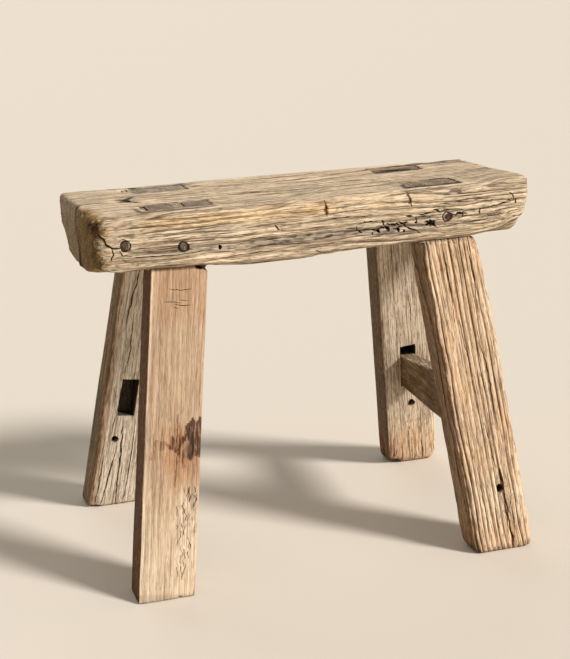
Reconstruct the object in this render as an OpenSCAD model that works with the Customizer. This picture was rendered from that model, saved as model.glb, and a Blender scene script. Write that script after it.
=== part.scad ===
// Rustic milking stool: a thick plank seat on four splayed legs.
// X runs along the seat, Y across it, Z up. The origin is on the floor under the seat's centre.
// Each leg ends in a through tenon that passes up a slanted mortise and is cut flush with the
// seat's top. Pegs driven in from the seat's long edges lock the tenons. One side stretcher
// joins the two right legs. The matching one on the left is lost, so its two sockets are empty.

/* [Seat plank] */
// Length of the seat plank, along X
seat_l = 380; // [350:1:420]
// Width of the seat plank, along Y
seat_w = 140; // [132:1:160]
// Thickness of the seat plank
seat_t = 47; // [40:1:55]
// Height of the seat's top face above the floor
seat_h = 312; // [290:1:340]
// Radius worn onto the long top front edge
front_wear_r = 7; // [3:0.5:9]
// Radius of the seat's other long edges
seat_edge_r = 3; // [1:0.5:5]
// Radius of the seat's upright corners
seat_corner_r = 9; // [4:1:12]

/* [Front left leg] */
// Width along the seat, then thickness
leg_fl_section = [45, 31]; // [26:1:52]
// Centre of the foot on the floor, X then Y
leg_fl_foot = [-158, -106]; // [-165:1:165]
// Point where the leg's centre line leaves the seat's top face, X then Y
leg_fl_top = [-111, -39]; // [-120:1:120]

/* [Back left leg] */
// Width along the seat, then thickness
leg_bl_section = [47, 31]; // [26:1:52]
// Centre of the foot on the floor, X then Y
leg_bl_foot = [-159, 119]; // [-165:1:165]
// Point where the leg's centre line leaves the seat's top face, X then Y
leg_bl_top = [-109, 46]; // [-120:1:120]

/* [Front right leg] */
// Width along the seat, then thickness
leg_fr_section = [49, 30]; // [26:1:52]
// Centre of the foot on the floor, X then Y
leg_fr_foot = [139, -121]; // [-165:1:165]
// Point where the leg's centre line leaves the seat's top face, X then Y
leg_fr_top = [115, -42]; // [-120:1:120]

/* [Back right leg] */
// Width along the seat, then thickness
leg_br_section = [48, 30]; // [26:1:52]
// Centre of the foot on the floor, X then Y
leg_br_foot = [152, 116]; // [-165:1:165]
// Point where the leg's centre line leaves the seat's top face, X then Y
leg_br_top = [111, 40]; // [-120:1:120]

/* [Tenons] */
// Thickness of each leg's tenon, across the seat
tenon_t = 25; // [18:0.5:26]
// Total narrowing of the tenon against the leg's width
tenon_side_cut = 2; // [0:0.5:8]
// How far the front left tenon is spread on each side by its wedge
wedge_spread = 5; // [3:0.5:6]
// Thickness of the wedge at the seat's top face
wedge_t = 9; // [6:0.5:11]
// Depth of the wedge below the seat's top face, where it stops short of the peg
wedge_depth = 21; // [14:1:22]
// Thickness of the packing strip beside the front left tenon
packing_t = 3; // [2:0.5:5]
// Length of the packing strip below the seat's top face
packing_depth = 20; // [12:1:24]
// Clearance left round each tenon, wedge and peg
fit_gap = 0.05; // [0.02:0.01:0.2]

/* [Pegs] */
// Diameter of the pegs that lock the tenons
peg_d = 9.5; // [7:0.5:12]
// Usual depth of the peg holes' centres below the seat's top face
peg_below_top = 28; // [28:1:32]
// Length of each tenon peg
peg_l = 52; // [44:1:54]
// Distance of the repair peg from the seat's left end
repair_peg_inset = 27; // [22:1:30]
// Length of the repair peg
repair_peg_l = 58; // [40:1:90]

/* [Stretcher] */
// Height of the stretcher's lower edge above the floor
stretcher_z = 90; // [70:1:120]
// Thickness of the stretcher board
stretcher_t = 15; // [10:0.5:18]
// Height of the board at the back leg
stretcher_back_h = 31; // [24:1:40]
// Height that the board gains towards the front leg
stretcher_rise = 28; // [0:1:36]
// Offset of the board from the legs' centre lines, along X
stretcher_shift = -1.5; // [-4:0.5:4]
// Depth of the stretcher's tenons and sockets in the legs
socket_depth = 20; // [14:1:22]
// Height of the slack left above the stretcher's tenon in the back leg
socket_slack = 12; // [0:1:16]
// Height of the empty sockets in the left legs
empty_socket_h = 37; // [28:1:44]
// Height of an empty socket's lower end above the stretcher's lower edge
empty_socket_v = 6; // [0:1:12]

/* [Old nail holes] */
// Diameters of the holes in the back left, front right and back right legs
nail_hole_d = [5, 6, 7]; // [3:0.5:8]
// Depth of the holes
nail_hole_depth = 14; // [6:1:20]

/* [Hidden] */
$fn = 48;

FL = 0;
BL = 1;
FR = 2;
BR = 3;
feet = [leg_fl_foot, leg_bl_foot, leg_fr_foot, leg_br_foot];
tops = [leg_fl_top, leg_bl_top, leg_fr_top, leg_br_top];
sections = [leg_fl_section, leg_bl_section, leg_fr_section, leg_br_section];
arris_r = [1.5, 4, 5, 4];               // worn radius of each leg's long edges
tenon_shift = [0, 1, -3, 1];            // tenon's offset from the leg's centre line
spread = [wedge_spread, 0, 0, 0];       // how far each tenon is flared by a wedge
inner_side = [1, -1, 1, -1];            // side of each leg that faces the middle, along Y

seat_under = seat_h - seat_t;
peg_z = seat_h - peg_below_top;
peg_rise = [-1, 0, 2, 0];               // how far each tenon peg sits above peg_z
repair_peg_rise = 4;                    // how far the repair peg sits above peg_z
big = 700;                              // larger than the whole stool
over = 12;                              // how far a cutting shape runs past a face
wedge_tip_t = 1.5;                      // thickness of the wedge's thin end
packing_tip_t = 0.5;                    // thickness of the packing strip's thin end
packing_side_cut = 4;                   // how much narrower the packing strip is than the tenon
front_tenon_v = [8, 44];                // height range of the stretcher's front tenon
rise_bow = 1.3;                         // how much the stretcher's top edge is bowed
rise_steps = 8;
rot_pocket = [13, 6, 10];               // decayed pocket in the back right tenon's end
saw_nicks = [8, 83];                    // places of the two saw nicks along the front edge
nick_size = [2, 5, 9];

// ---- Frames of the legs and stretchers ----

function run(i) = tops[i] - feet[i];
function leg_len(i) = norm([run(i).x, run(i).y, seat_h]);
function along(i, z) = z * leg_len(i) / seat_h;
function leg_point(i, z) = [feet[i].x + run(i).x * z / seat_h, feet[i].y + run(i).y * z / seat_h, z];

// Z runs up the leg's centre line, X across its width and Y through its thickness
module in_leg(i) {
    translate([feet[i].x, feet[i].y, 0])
        rotate([atan2(-run(i).y, seat_h), 0, 0])
            rotate([0, asin(run(i).x / leg_len(i)), 0])
                children();
}

// Y runs from the front leg to the back leg along the stretcher's lower edge, Z up the board
module in_side(front, back) {
    a = leg_point(front, stretcher_z);
    b = leg_point(back, stretcher_z);
    lean = atan2((run(front).x + run(back).x) / 2, seat_h);
    translate([b.x + stretcher_shift, b.y, stretcher_z])
        rotate([0, 0, atan2(a.x - b.x, b.y - a.y)])
            rotate([0, lean, 0])
                children();
}

// Everything between two heights
module slab(z0, z1) {
    translate([-big / 2, -big / 2, z0])
        cube([big, big, z1 - z0]);
}

// ---- Outlines ----

module rounded_rect(size, r) {
    square([size.x - 2 * r, size.y], center = true);
    square([size.x, size.y - 2 * r], center = true);
    for (sx = [-1, 1], sy = [-1, 1])
        translate([sx * (size.x / 2 - r), sy * (size.y / 2 - r)])
            circle(r);
}

// Cross-section of the plank, Y to the right and Z up, with its lower face on the axis
module seat_section() {
    r = seat_edge_r;
    w = front_wear_r;
    difference() {
        translate([0, seat_t / 2])
            rounded_rect([seat_w, seat_t], r);
        translate([-seat_w / 2, seat_t - w])
            square([w, w]);
    }
    translate([-seat_w / 2 + w, seat_t - w])
        circle(w);
}

// Tenon of leg i in the plane of its width and length; grow widens it into its mortise
function tenon_half(i, z, grow) =
    (sections[i].x - tenon_side_cut) / 2 + grow
    + spread[i] * (z - along(i, seat_under)) / (along(i, seat_h) - along(i, seat_under));

module tenon_outline(i, grow) {
    z0 = along(i, seat_under) - over;
    z1 = along(i, seat_h) + over;
    s = tenon_shift[i];
    polygon([
        [s - tenon_half(i, z0, grow), z0], [s + tenon_half(i, z0, grow), z0],
        [s + tenon_half(i, z1, grow), z1], [s - tenon_half(i, z1, grow), z1],
    ]);
}

module tenon_bar(i, grow) {
    in_leg(i)
        rotate([90, 0, 0])
            linear_extrude(tenon_t + 2 * grow, center = true)
                tenon_outline(i, grow);
}

// The wedge tapers from its tip to the seat's top face, and its cut is wider by grow
module wedge_bar(grow) {
    z1 = along(FL, seat_h);
    z0 = z1 - wedge_depth - grow;
    slope = (wedge_t - wedge_tip_t) / 2 / wedge_depth;
    half_low = wedge_tip_t / 2 + grow;
    half_high = wedge_t / 2 + grow + slope * over;
    in_leg(FL)
        rotate([90, 0, 0])
            linear_extrude(tenon_t, center = true)
                polygon([
                    [-half_low, z0], [half_low, z0],
                    [half_high, z1 + over], [-half_high, z1 + over],
                ]);
}

// Thin strip driven down against the left-hand cheek of the front left tenon
module packing_bar(grow) {
    z1 = along(FL, seat_h);
    z0 = z1 - packing_depth;
    low = -tenon_half(FL, z0, fit_gap);
    high = -tenon_half(FL, z1 + over, fit_gap);
    in_leg(FL)
        rotate([90, 0, 0])
            linear_extrude(tenon_t - packing_side_cut + 2 * grow, center = true)
                polygon([
                    [low + grow, z0 - grow], [high + grow, z1 + over],
                    [high - packing_t - grow, z1 + over], [low - packing_tip_t - grow, z0 - grow],
                ]);
}

// ---- Holes ----

// Hole bored level from the seat's front (side -1) or back (side 1) edge
module peg_hole_at(x, z, side, length, r) {
    translate([x, side * (seat_w / 2 + over), z])
        rotate([side * 90, 0, 0])
            cylinder(h = length + over, r = r);
}

module tenon_peg_hole(i, r) {
    z = peg_z + peg_rise[i];
    peg_hole_at(leg_point(i, z).x, z, sign(tops[i].y), peg_l, r);
}

module repair_peg_hole(r) {
    x = -seat_l / 2 + repair_peg_inset;
    peg_hole_at(x, peg_z + repair_peg_rise, -1, repair_peg_l, r);
}

// Hole drilled square to the leg's face: x across it, z along it, on side -1 (front) or 1
module nail_hole(i, x, z, d) {
    in_leg(i)
        translate([x, -sections[i].y / 2 + nail_hole_depth, z])
            rotate([90, 0, 0])
                cylinder(h = nail_hole_depth + over, d = d);
}

// ---- Stretcher and sockets ----

// Part of space that lies up to depth inside leg i from its inner face
module inside_leg(i, depth) {
    s = inner_side[i];
    face = s * sections[i].y / 2;
    in_leg(i)
        translate([-big / 2, min(face, face - s * depth), 0])
            cube([big, depth, seat_h]);
}

// Slice just outside the leg's inner face, so that a socket's cut runs past it
module face_margin(i) {
    s = inner_side[i];
    face = s * sections[i].y / 2;
    in_leg(i)
        translate([-big / 2, min(face, face + s * over), 0])
            cube([big, over, seat_h]);
}

// Everything on the outer side of the leg's inner face
module leg_cheek_cut(i) {
    s = inner_side[i];
    y0 = s > 0 ? -big : -sections[i].y / 2;
    in_leg(i)
        translate([-big / 2, y0, -big / 2])
            cube([big, big + sections[i].y / 2, big]);
}

// Board between heights v0 and v1, long enough to reach through both legs
module straight_board(front, back, v, thickness) {
    span = norm(leg_point(front, stretcher_z) - leg_point(back, stretcher_z));
    in_side(front, back)
        rotate([90, 0, 90])
            linear_extrude(thickness, center = true)
                translate([-span - over, v[0]])
                    square([span + 2 * over, v[1] - v[0]]);
}

module tapered_board(front, back) {
    span = norm(leg_point(front, stretcher_z) - leg_point(back, stretcher_z));
    top_edge = [for (k = [0:rise_steps]) [
        -span * k / rise_steps,
        stretcher_back_h + stretcher_rise * pow(k / rise_steps, rise_bow),
    ]];
    in_side(front, back)
        rotate([90, 0, 90])
            linear_extrude(stretcher_t, center = true)
                polygon(concat([[0, 0]], top_edge, [[-span, 0]]));
}

module socket(i, front, back, v) {
    intersection() {
        straight_board(front, back, [v[0] - fit_gap, v[1] + fit_gap], stretcher_t + 2 * fit_gap);
        union() {
            inside_leg(i, socket_depth + fit_gap);
            face_margin(i);
        }
    }
}

// ---- Sub-parts ----

module seat_plank() {
    color("#c9b48c")
        difference() {
            intersection() {
                translate([-seat_l / 2, 0, seat_under])
                    rotate([90, 0, 90])
                        linear_extrude(seat_l)
                            seat_section();
                translate([0, 0, seat_under - 1])
                    linear_extrude(seat_t + 2)
                        rounded_rect([seat_l, seat_w], seat_corner_r);
            }
            for (i = [FL, BL, FR, BR]) {
                tenon_bar(i, fit_gap);
                tenon_peg_hole(i, peg_d / 2 + fit_gap);
            }
            packing_bar(fit_gap);
            repair_peg_hole(peg_d / 2 + fit_gap);
            for (x = saw_nicks)
                translate([x - nick_size.x / 2, -seat_w / 2 - 1, seat_h - nick_size.z])
                    cube([nick_size.x, nick_size.y + 1, nick_size.z + 1]);
        }
}

module leg_shaft(i) {
    intersection() {
        in_leg(i)
            translate([0, 0, -over * 2])
                linear_extrude(leg_len(i) + over)
                    rounded_rect(sections[i], arris_r[i]);
        slab(0, seat_under);
    }
}

module leg_blank(i) {
    leg_shaft(i);
    intersection() {
        tenon_bar(i, 0);
        slab(seat_under - 1, seat_h);
    }
}

module leg_front_left() {
    color("#c8a67c")
        difference() {
            leg_blank(FL);
            wedge_bar(fit_gap);
            tenon_peg_hole(FL, peg_d / 2 + fit_gap);
            socket(FL, FL, BL, [empty_socket_v, empty_socket_v + empty_socket_h]);
        }
}

module leg_back_left() {
    color("#a3937b")
        difference() {
            leg_blank(BL);
            tenon_peg_hole(BL, peg_d / 2 + fit_gap);
            socket(BL, FL, BL, [empty_socket_v, empty_socket_v + empty_socket_h]);
            nail_hole(BL, -9, 77, nail_hole_d[0]);
        }
}

module leg_front_right() {
    color("#cfae80")
        difference() {
            leg_blank(FR);
            tenon_peg_hole(FR, peg_d / 2 + fit_gap);
            socket(FR, FR, BR, front_tenon_v);
            nail_hole(FR, 6, 51, nail_hole_d[1]);
        }
}

module leg_back_right() {
    color("#b5a080")
        difference() {
            leg_blank(BR);
            tenon_peg_hole(BR, peg_d / 2 + fit_gap);
            socket(BR, FR, BR, [0, stretcher_back_h + socket_slack]);
            nail_hole(BR, 0, 75, nail_hole_d[2]);
            translate([tops[BR].x, tops[BR].y - 4, seat_h - rot_pocket.z / 2])
                cube([rot_pocket.x, rot_pocket.y, rot_pocket.z + 1], center = true);
        }
}

module wedge_front_left() {
    color("#d2b98a")
        intersection() {
            wedge_bar(0);
            slab(0, seat_h);
        }
}

module packing_front_left() {
    color("#d8c193")
        intersection() {
            packing_bar(0);
            slab(0, seat_h);
        }
}

module tenon_peg(i) {
    color("#7d6450")
        intersection() {
            tenon_peg_hole(i, peg_d / 2);
            translate([-big / 2, -seat_w / 2, 0])
                cube([big, seat_w, big]);
        }
}

module repair_peg() {
    color("#86695a")
        intersection() {
            repair_peg_hole(peg_d / 2);
            translate([-big / 2, -seat_w / 2, 0])
                cube([big, seat_w, big]);
        }
}

module side_stretcher() {
    color("#8f7350") {
        difference() {
            tapered_board(FR, BR);
            leg_cheek_cut(FR);
            leg_cheek_cut(BR);
        }
        intersection() {
            straight_board(FR, BR, [0, stretcher_back_h], stretcher_t);
            inside_leg(BR, socket_depth);
        }
        intersection() {
            straight_board(FR, BR, front_tenon_v, stretcher_t);
            inside_leg(FR, socket_depth);
        }
    }
}

seat_plank();
leg_front_left();
leg_back_left();
leg_front_right();
leg_back_right();
wedge_front_left();
packing_front_left();
tenon_peg(FL);  // peg_front_left
tenon_peg(BL);  // peg_back_left
tenon_peg(FR);  // peg_front_right
tenon_peg(BR);  // peg_back_right
repair_peg();
side_stretcher();
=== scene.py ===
import math

import bpy
import numpy as np
from mathutils import Matrix, Vector


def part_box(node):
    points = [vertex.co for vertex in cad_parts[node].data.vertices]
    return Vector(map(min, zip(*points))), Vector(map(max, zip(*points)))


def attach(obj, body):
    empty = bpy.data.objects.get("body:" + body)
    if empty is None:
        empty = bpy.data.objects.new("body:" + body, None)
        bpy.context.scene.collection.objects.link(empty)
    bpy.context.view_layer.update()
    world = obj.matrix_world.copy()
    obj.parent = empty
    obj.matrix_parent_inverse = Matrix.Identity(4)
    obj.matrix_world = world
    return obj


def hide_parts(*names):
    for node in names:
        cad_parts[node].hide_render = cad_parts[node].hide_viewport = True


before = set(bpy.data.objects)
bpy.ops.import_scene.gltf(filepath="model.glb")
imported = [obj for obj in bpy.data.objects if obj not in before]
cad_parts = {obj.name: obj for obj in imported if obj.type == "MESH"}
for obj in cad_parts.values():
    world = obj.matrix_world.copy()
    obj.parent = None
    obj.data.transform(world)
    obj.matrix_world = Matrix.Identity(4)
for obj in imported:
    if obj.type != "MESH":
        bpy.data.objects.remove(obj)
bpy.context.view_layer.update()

# Weathered milking stool. Every timber is a closed skin of small quads that is worn, ridged and
# cut as the real wood is, then coloured by node materials that read what was done to each point
# and where light and shade are painted on it.
# Lengths are millimetres until a mesh is made. Each timber has its own grain frame: g runs along
# the grain, s across the board and t through it. Cutters start CLEAR or DRILL_CLEAR above a face.

MM = 0.001
STEP_ALONG = 2.0
STEP_ACROSS = 1.0
STRETCHER_Z = 90
STRETCHER_T = 15
STRETCHER_BACK_H = 31
STRETCHER_RISE = 28
STRETCHER_SHIFT = -1.5
SOCKET_DEPTH = 20
CLEAR = 3.0
DRILL_CLEAR = 4
SHARP_ANGLE = 48
FRONT_TENON = (8, 44)
BACK_SOCKET = (0, 43)
EMPTY_SOCKET = (6, 43)
TENON_T = 25


# ---- Noise and masks ----

def hashed(i, j, k, seed):
    """Repeatable value from -1 to 1 for each lattice point"""
    h = i.astype(np.uint32) * np.uint32(73856093)
    h ^= j.astype(np.uint32) * np.uint32(19349663)
    h ^= k.astype(np.uint32) * np.uint32(83492791)
    h ^= np.uint32((seed * 2654435761) % 2 ** 32)
    h = (h ^ (h >> np.uint32(15))) * np.uint32(2246822519)
    h = (h ^ (h >> np.uint32(13))) * np.uint32(3266489917)
    return (h ^ (h >> np.uint32(16))) / 2147483647.5 - 1


def noise(p, size, seed):
    """Smooth noise from about -1 to 1; size is its grain along each axis"""
    q = p / np.asarray(size, float) + 0.37 * seed
    base = np.floor(q)
    f = q - base
    f = f * f * (3 - 2 * f)
    cell = base.astype(np.int64)
    total = np.zeros(len(p))
    for a in (0, 1):
        wa = f[:, 0] if a else 1 - f[:, 0]
        for b in (0, 1):
            wb = f[:, 1] if b else 1 - f[:, 1]
            for c in (0, 1):
                wc = f[:, 2] if c else 1 - f[:, 2]
                total += wa * wb * wc * hashed(cell[:, 0] + a, cell[:, 1] + b, cell[:, 2] + c, seed)
    return total


def layered(p, size, seed, octaves=3):
    """Noise with finer and weaker layers added"""
    total = np.zeros(len(p))
    weight = 1.0
    size = np.asarray(size, float)
    for k in range(octaves):
        total += weight * noise(p, size / 2 ** k, seed + 31 * k)
        weight *= 0.5
    return total / 1.6


def smooth(low, high, x):
    """0 below low, 1 above high and a soft step between; low may be the larger"""
    t = np.clip((x - low) / (high - low), 0, 1)
    return t * t * (3 - 2 * t)


def blob(p, centre, radii, ragged=0.0, seed=5):
    """1 at the centre, falling to 0 at the given radii, with an uneven edge"""
    d = np.linalg.norm((p - np.asarray(centre, float)) / np.asarray(radii, float), axis=1)
    if ragged:
        d = d + ragged * layered(p, (9, 3.5, 3.5), seed)
    return smooth(1.0, 0.35, d)


def band(x, low, high, soft):
    """1 between low and high, with soft ends"""
    return smooth(low - soft, low + soft, x) * smooth(high + soft, high - soft, x)


# ---- Closed skins ----

def block_skin(counts):
    """Surface grid of a block from -1 to 1: points and outward quads"""
    n = np.array(counts)
    quads = []
    for axis in range(3):
        u, v = (axis + 1) % 3, (axis + 2) % 3
        gu, gv = np.meshgrid(np.arange(n[u]), np.arange(n[v]), indexing="ij")
        for side in (0, n[axis]):
            corners = []
            for du, dv in ((0, 0), (1, 0), (1, 1), (0, 1)):
                c = np.zeros(gu.shape + (3,), np.int64)
                c[..., axis] = side
                c[..., u] = gu + du
                c[..., v] = gv + dv
                corners.append(c)
            if side == 0:
                corners.reverse()
            quads.append(np.stack(corners, axis=2).reshape(-1, 4, 3))
    quads = np.concatenate(quads)
    keys = (quads[..., 0] * (n[1] + 1) + quads[..., 1]) * (n[2] + 1) + quads[..., 2]
    unique, faces = np.unique(keys, return_inverse=True)
    lattice = np.stack([
        unique // ((n[1] + 1) * (n[2] + 1)),
        unique // (n[2] + 1) % (n[1] + 1),
        unique % (n[2] + 1),
    ], axis=1)
    return lattice / n * 2 - 1, faces.reshape(-1, 4)


def rounded(unit, half, radius):
    """Unit block points moved to a block with rounded edges; radius may differ per point and axis"""
    p = unit * half
    core = np.maximum(half - radius, 0)
    near = np.clip(p, -core, core)
    e = (p - near) / radius
    reach = np.abs(e).max(axis=1, keepdims=True)
    length = np.maximum(np.linalg.norm(e, axis=1, keepdims=True), 1e-9)
    return near + e * reach / length * radius


def normals_of(points, faces):
    """Unit normal at each point"""
    a = points[faces[:, 2]] - points[faces[:, 0]]
    b = points[faces[:, 3]] - points[faces[:, 1]]
    n = np.cross(a, b)
    total = np.zeros_like(points)
    for axis in range(3):
        weights = np.repeat(n[:, axis], 4)
        total[:, axis] = np.bincount(faces.ravel(), weights, minlength=len(points))
    return total / np.maximum(np.linalg.norm(total, axis=1, keepdims=True), 1e-12)


def counts_for(half, along=STEP_ALONG, across=STEP_ACROSS):
    """Grid counts that give the wanted spacing on a block with these half sizes"""
    steps = np.array([along, across, across])
    return np.maximum(np.round(2 * np.asarray(half) / steps), 4).astype(int)


class Grain:
    """A timber's grain frame: an origin and the directions of g, s and t in the shared frame"""

    def __init__(self, origin, along, across):
        self.origin = np.asarray(origin, float)
        g = np.asarray(along, float) / np.linalg.norm(along)
        s = np.asarray(across, float) - np.dot(across, g) * g
        s = s / np.linalg.norm(s)
        self.axes = np.array([g, s, np.cross(g, s)])

    def world(self, local):
        return self.origin + np.asarray(local, float) @ self.axes

    def local(self, world):
        return (np.asarray(world, float) - self.origin) @ self.axes.T


def make_object(name, points, faces):
    """Blender object from points in millimetres in the shared frame"""
    mesh = bpy.data.meshes.new(name)
    mesh.from_pydata((np.asarray(points) * MM).tolist(), [], [list(map(int, f)) for f in faces])
    mesh.update()
    piece = bpy.data.objects.new(name, mesh)
    bpy.context.scene.collection.objects.link(piece)
    return piece


def points_of(piece):
    """The object's points in millimetres"""
    co = np.zeros(len(piece.data.vertices) * 3, np.float32)
    piece.data.vertices.foreach_get("co", co)
    return co.reshape(-1, 3).astype(float) / MM


def store(piece, name, kind, values):
    """Keeps one value per point on the mesh, for the materials"""
    data = piece.data
    if name in data.attributes:
        data.attributes.remove(data.attributes[name])
    attribute = data.attributes.new(name, kind, "POINT")
    field = "value" if kind == "FLOAT" else "vector"
    attribute.data.foreach_set(field, np.asarray(values, np.float32).ravel())


# ---- Cutting ----

def combine(piece, others, operation):
    """Cuts the others from the piece, or joins them to it, and removes them"""
    for other in others:
        step = piece.modifiers.new("combine", "BOOLEAN")
        step.operation = operation
        step.solver = "MANIFOLD"
        step.object = other
    graph = bpy.context.evaluated_depsgraph_get()
    result = bpy.data.meshes.new_from_object(piece.evaluated_get(graph))
    piece.modifiers.clear()
    old = piece.data
    name = old.name
    piece.data = result
    bpy.data.meshes.remove(old)
    result.name = name
    for other in others:
        mesh = other.data
        bpy.data.objects.remove(other)
        bpy.data.meshes.remove(mesh)


def block(grain, centre, half, rough, step, seed=1):
    """Block in a grain frame; rough makes its faces uneven"""
    counts = np.maximum(np.round(2 * np.asarray(half, float) / step), 1).astype(int)
    unit, faces = block_skin(counts)
    world = grain.world(unit * np.asarray(half, float) + np.asarray(centre, float))
    for k in range(3):
        world[:, k] += rough * noise(world, (3.1, 3.1, 3.1), seed + 7 * k)
    return make_object("cutter", world, faces)


def drill(start, direction, radius, length, rough, sides=20, seed=2):
    """Round hole cutter that starts outside the wood and narrows a little at its tip"""
    g = Grain(start, direction, (0.31, 0.52, 0.79))
    rings = [(-DRILL_CLEAR, 1.12), (-0.6, 1.12), (1.0, 1.0), (length * 0.6, 0.97), (length, 0.85)]
    points = []
    for depth, scale in rings:
        for k in range(sides):
            angle = 2 * math.pi * k / sides
            wobble = 1 + rough * math.sin(2 * angle + seed) + rough * math.sin(3 * angle + 2 * seed)
            r = radius * scale * wobble
            points.append((depth, r * math.cos(angle), r * math.sin(angle)))
    last = len(points)
    points.append((-DRILL_CLEAR, 0, 0))
    points.append((length + 0.3 * radius, 0, 0))
    faces = []
    for ring in range(len(rings) - 1):
        for k in range(sides):
            a = ring * sides + k
            b = ring * sides + (k + 1) % sides
            faces.append((a, b, b + sides, a + sides))
    for k in range(sides):
        faces.append((last, (k + 1) % sides, k))
        top = (len(rings) - 1) * sides
        faces.append((last + 1, top + k, top + (k + 1) % sides))
    return make_object("cutter", g.world(points), faces)


def crack(route, outward, width, depth, wander, seed, jag=9.0):
    """Thin V-shaped cutter along a route on a face; it closes to nothing at both ends. wander is
    how far it strays from the route and jag the length of its bends"""
    route = np.asarray(route, float)
    out = np.asarray(outward, float) / np.linalg.norm(outward)
    lengths = np.linalg.norm(np.diff(route, axis=0), axis=1)
    reach = np.concatenate([[0], np.cumsum(lengths)])
    count = max(int(reach[-1] / 1.2), 4)
    at = np.linspace(0, reach[-1], count + 1)
    line = np.stack([np.interp(at, reach, route[:, k]) for k in range(3)], axis=1)
    ahead = np.gradient(line, axis=0)
    side = np.cross(ahead, out)
    side = side / np.linalg.norm(side, axis=1, keepdims=True)
    shift = layered(line, (jag, jag, jag), seed, 3)
    from_end = np.minimum(at, reach[-1] - at) / reach[-1]
    line = line + side * (wander * shift * smooth(0, 0.15, from_end))[:, None]
    open_ = np.sqrt(np.clip(4 * at / reach[-1] * (1 - at / reach[-1]), 0.02, 1))
    open_ = open_ * (1 + 0.55 * noise(line, (4, 4, 4), seed + 9))
    half = (0.5 * width * open_)[:, None]
    deep = (depth * (0.3 + 0.7 * open_))[:, None]
    wide = half * (1 + 0.7 * CLEAR / np.maximum(deep, 0.1))
    rows = [
        line - side * wide + out * CLEAR,
        line - side * half * 0.12 - out * deep,
        line + side * half * 0.12 - out * deep,
        line + side * wide + out * CLEAR,
    ]
    points = np.stack(rows, axis=1).reshape(-1, 3)
    faces = []
    for k in range(count):
        for c in range(4):
            d = (c + 1) % 4
            faces.append((4 * k + c, 4 * k + 4 + c, 4 * k + 4 + d, 4 * k + d))
    faces.append((0, 1, 2, 3))
    faces.append((4 * count + 3, 4 * count + 2, 4 * count + 1, 4 * count))
    return make_object("cutter", points, faces)


# ---- Weathering, and marks that also hold painted light and shade ----

def ring_phase(p, look, seed):
    """Growth rings: distance from the pith in ring widths, with the trunk's slow wander"""
    bend = look["wander"] * (noise(p, (150, 46, 46), seed) + 0.3 * noise(p, (60, 12, 12), seed + 3))
    bend = bend + 0.28 * look["ring"] * noise(p, (28, 5, 5), seed + 7)
    s = p[:, 1] - look["pith"][0]
    t = p[:, 2] - look["pith"][1]
    return (np.hypot(s, t) + bend) / look["ring"]


def weather(p, look, seed):
    """Height of the worn surface in millimetres, and how strong each ring's groove is"""
    phase = ring_phase(p, look, seed)
    f = phase - np.floor(phase)
    ridge = smooth(0.02, 0.42, f) * smooth(1.0, 0.87, f)
    number = np.floor(phase + 0.5).astype(np.int64)
    own = 0.5 + 0.5 * hashed(number, number * 0, number * 0, seed)
    strength = look["even"] + (1 - look["even"]) * own + 0.45 * noise(p, (48, 9, 9), seed + 11)
    strength = np.clip(strength, 0.05, 1)
    fibre = layered(p, (36, 1.9, 1.9), seed + 17, 2)
    swell = layered(p, (90, 14, 14), seed + 23, 2)
    height = look["ridge"] * ((ridge - 0.7) * strength)
    height = height + look["fibre"] * fibre + look["swell"] * swell
    return height, strength


def splits(grain, count, low, high, out_axis, side, width, depth, seed,
           reach=(9, 34), wander=0.35, jag=9.0):
    """Short drying splits along the grain, scattered over one face: low and high are its corners
    in the grain frame, out_axis and side say which way the face looks, reach is their length"""
    draw = np.random.default_rng(seed)
    low, high = np.asarray(low, float), np.asarray(high, float)
    outward = grain.axes[out_axis] * side
    found = []
    for k in range(count):
        start = low + draw.random(3) * (high - low)
        length = draw.uniform(*reach)
        drift = draw.uniform(-0.1, 0.1) * length * wander
        end = start + (length, 0, 0)
        end[3 - out_axis] += drift
        if end[0] > high[0]:
            continue
        size = draw.uniform(0.5, 1.0)
        route = [grain.world(point) for point in (start, (start + end) / 2, end)]
        found.append(crack(route, outward, width * size, depth * size, wander, seed + k, jag))
    return found


class Marks:
    """What has happened to each point of a timber and where light and shade are painted on it, from 0 to 1,
    and its growth ring phase
    """

    # pale also holds painted light; dark, inside and the moss mark also hold painted shade
    NAMES = ("groove", "grey", "dark", "warm", "stain", "moss_and_shade", "pale", "inside", "ends")

    def __init__(self, phase):
        self.phase = phase
        self.values = {name: np.zeros(len(phase)) for name in self.NAMES}

    def add(self, name, amount):
        self.values[name] = np.clip(self.values[name] + amount, 0, 1)

    def lift(self, name, amount):
        self.values[name] = np.maximum(self.values[name], np.clip(amount, 0, 1))

    def store(self, piece):
        v = self.values
        store(piece, "wear_and_shade", "FLOAT_VECTOR", np.stack([v["groove"], v["grey"], v["dark"]], axis=1))
        store(piece, "tint", "FLOAT_VECTOR", np.stack([v["warm"], v["stain"], v["moss_and_shade"]], axis=1))
        store(piece, "more", "FLOAT_VECTOR", np.stack([v["pale"], v["inside"], v["ends"]], axis=1))
        store(piece, "rings", "FLOAT", self.phase)


def worn(p, faces, look, seed):
    """Points moved by the worn surface's height, and the normals they had before"""
    normal = normals_of(p, faces)
    height, _ = weather(p, look, seed)
    return p + normal * (height * look["face"](p, normal))[:, None], normal


def cut(piece, cutters):
    """Cuts the timber, after marking the points that it has so far as kept"""
    store(piece, "kept", "FLOAT", np.ones(len(piece.data.vertices)))
    combine(piece, cutters, "DIFFERENCE")


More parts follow.
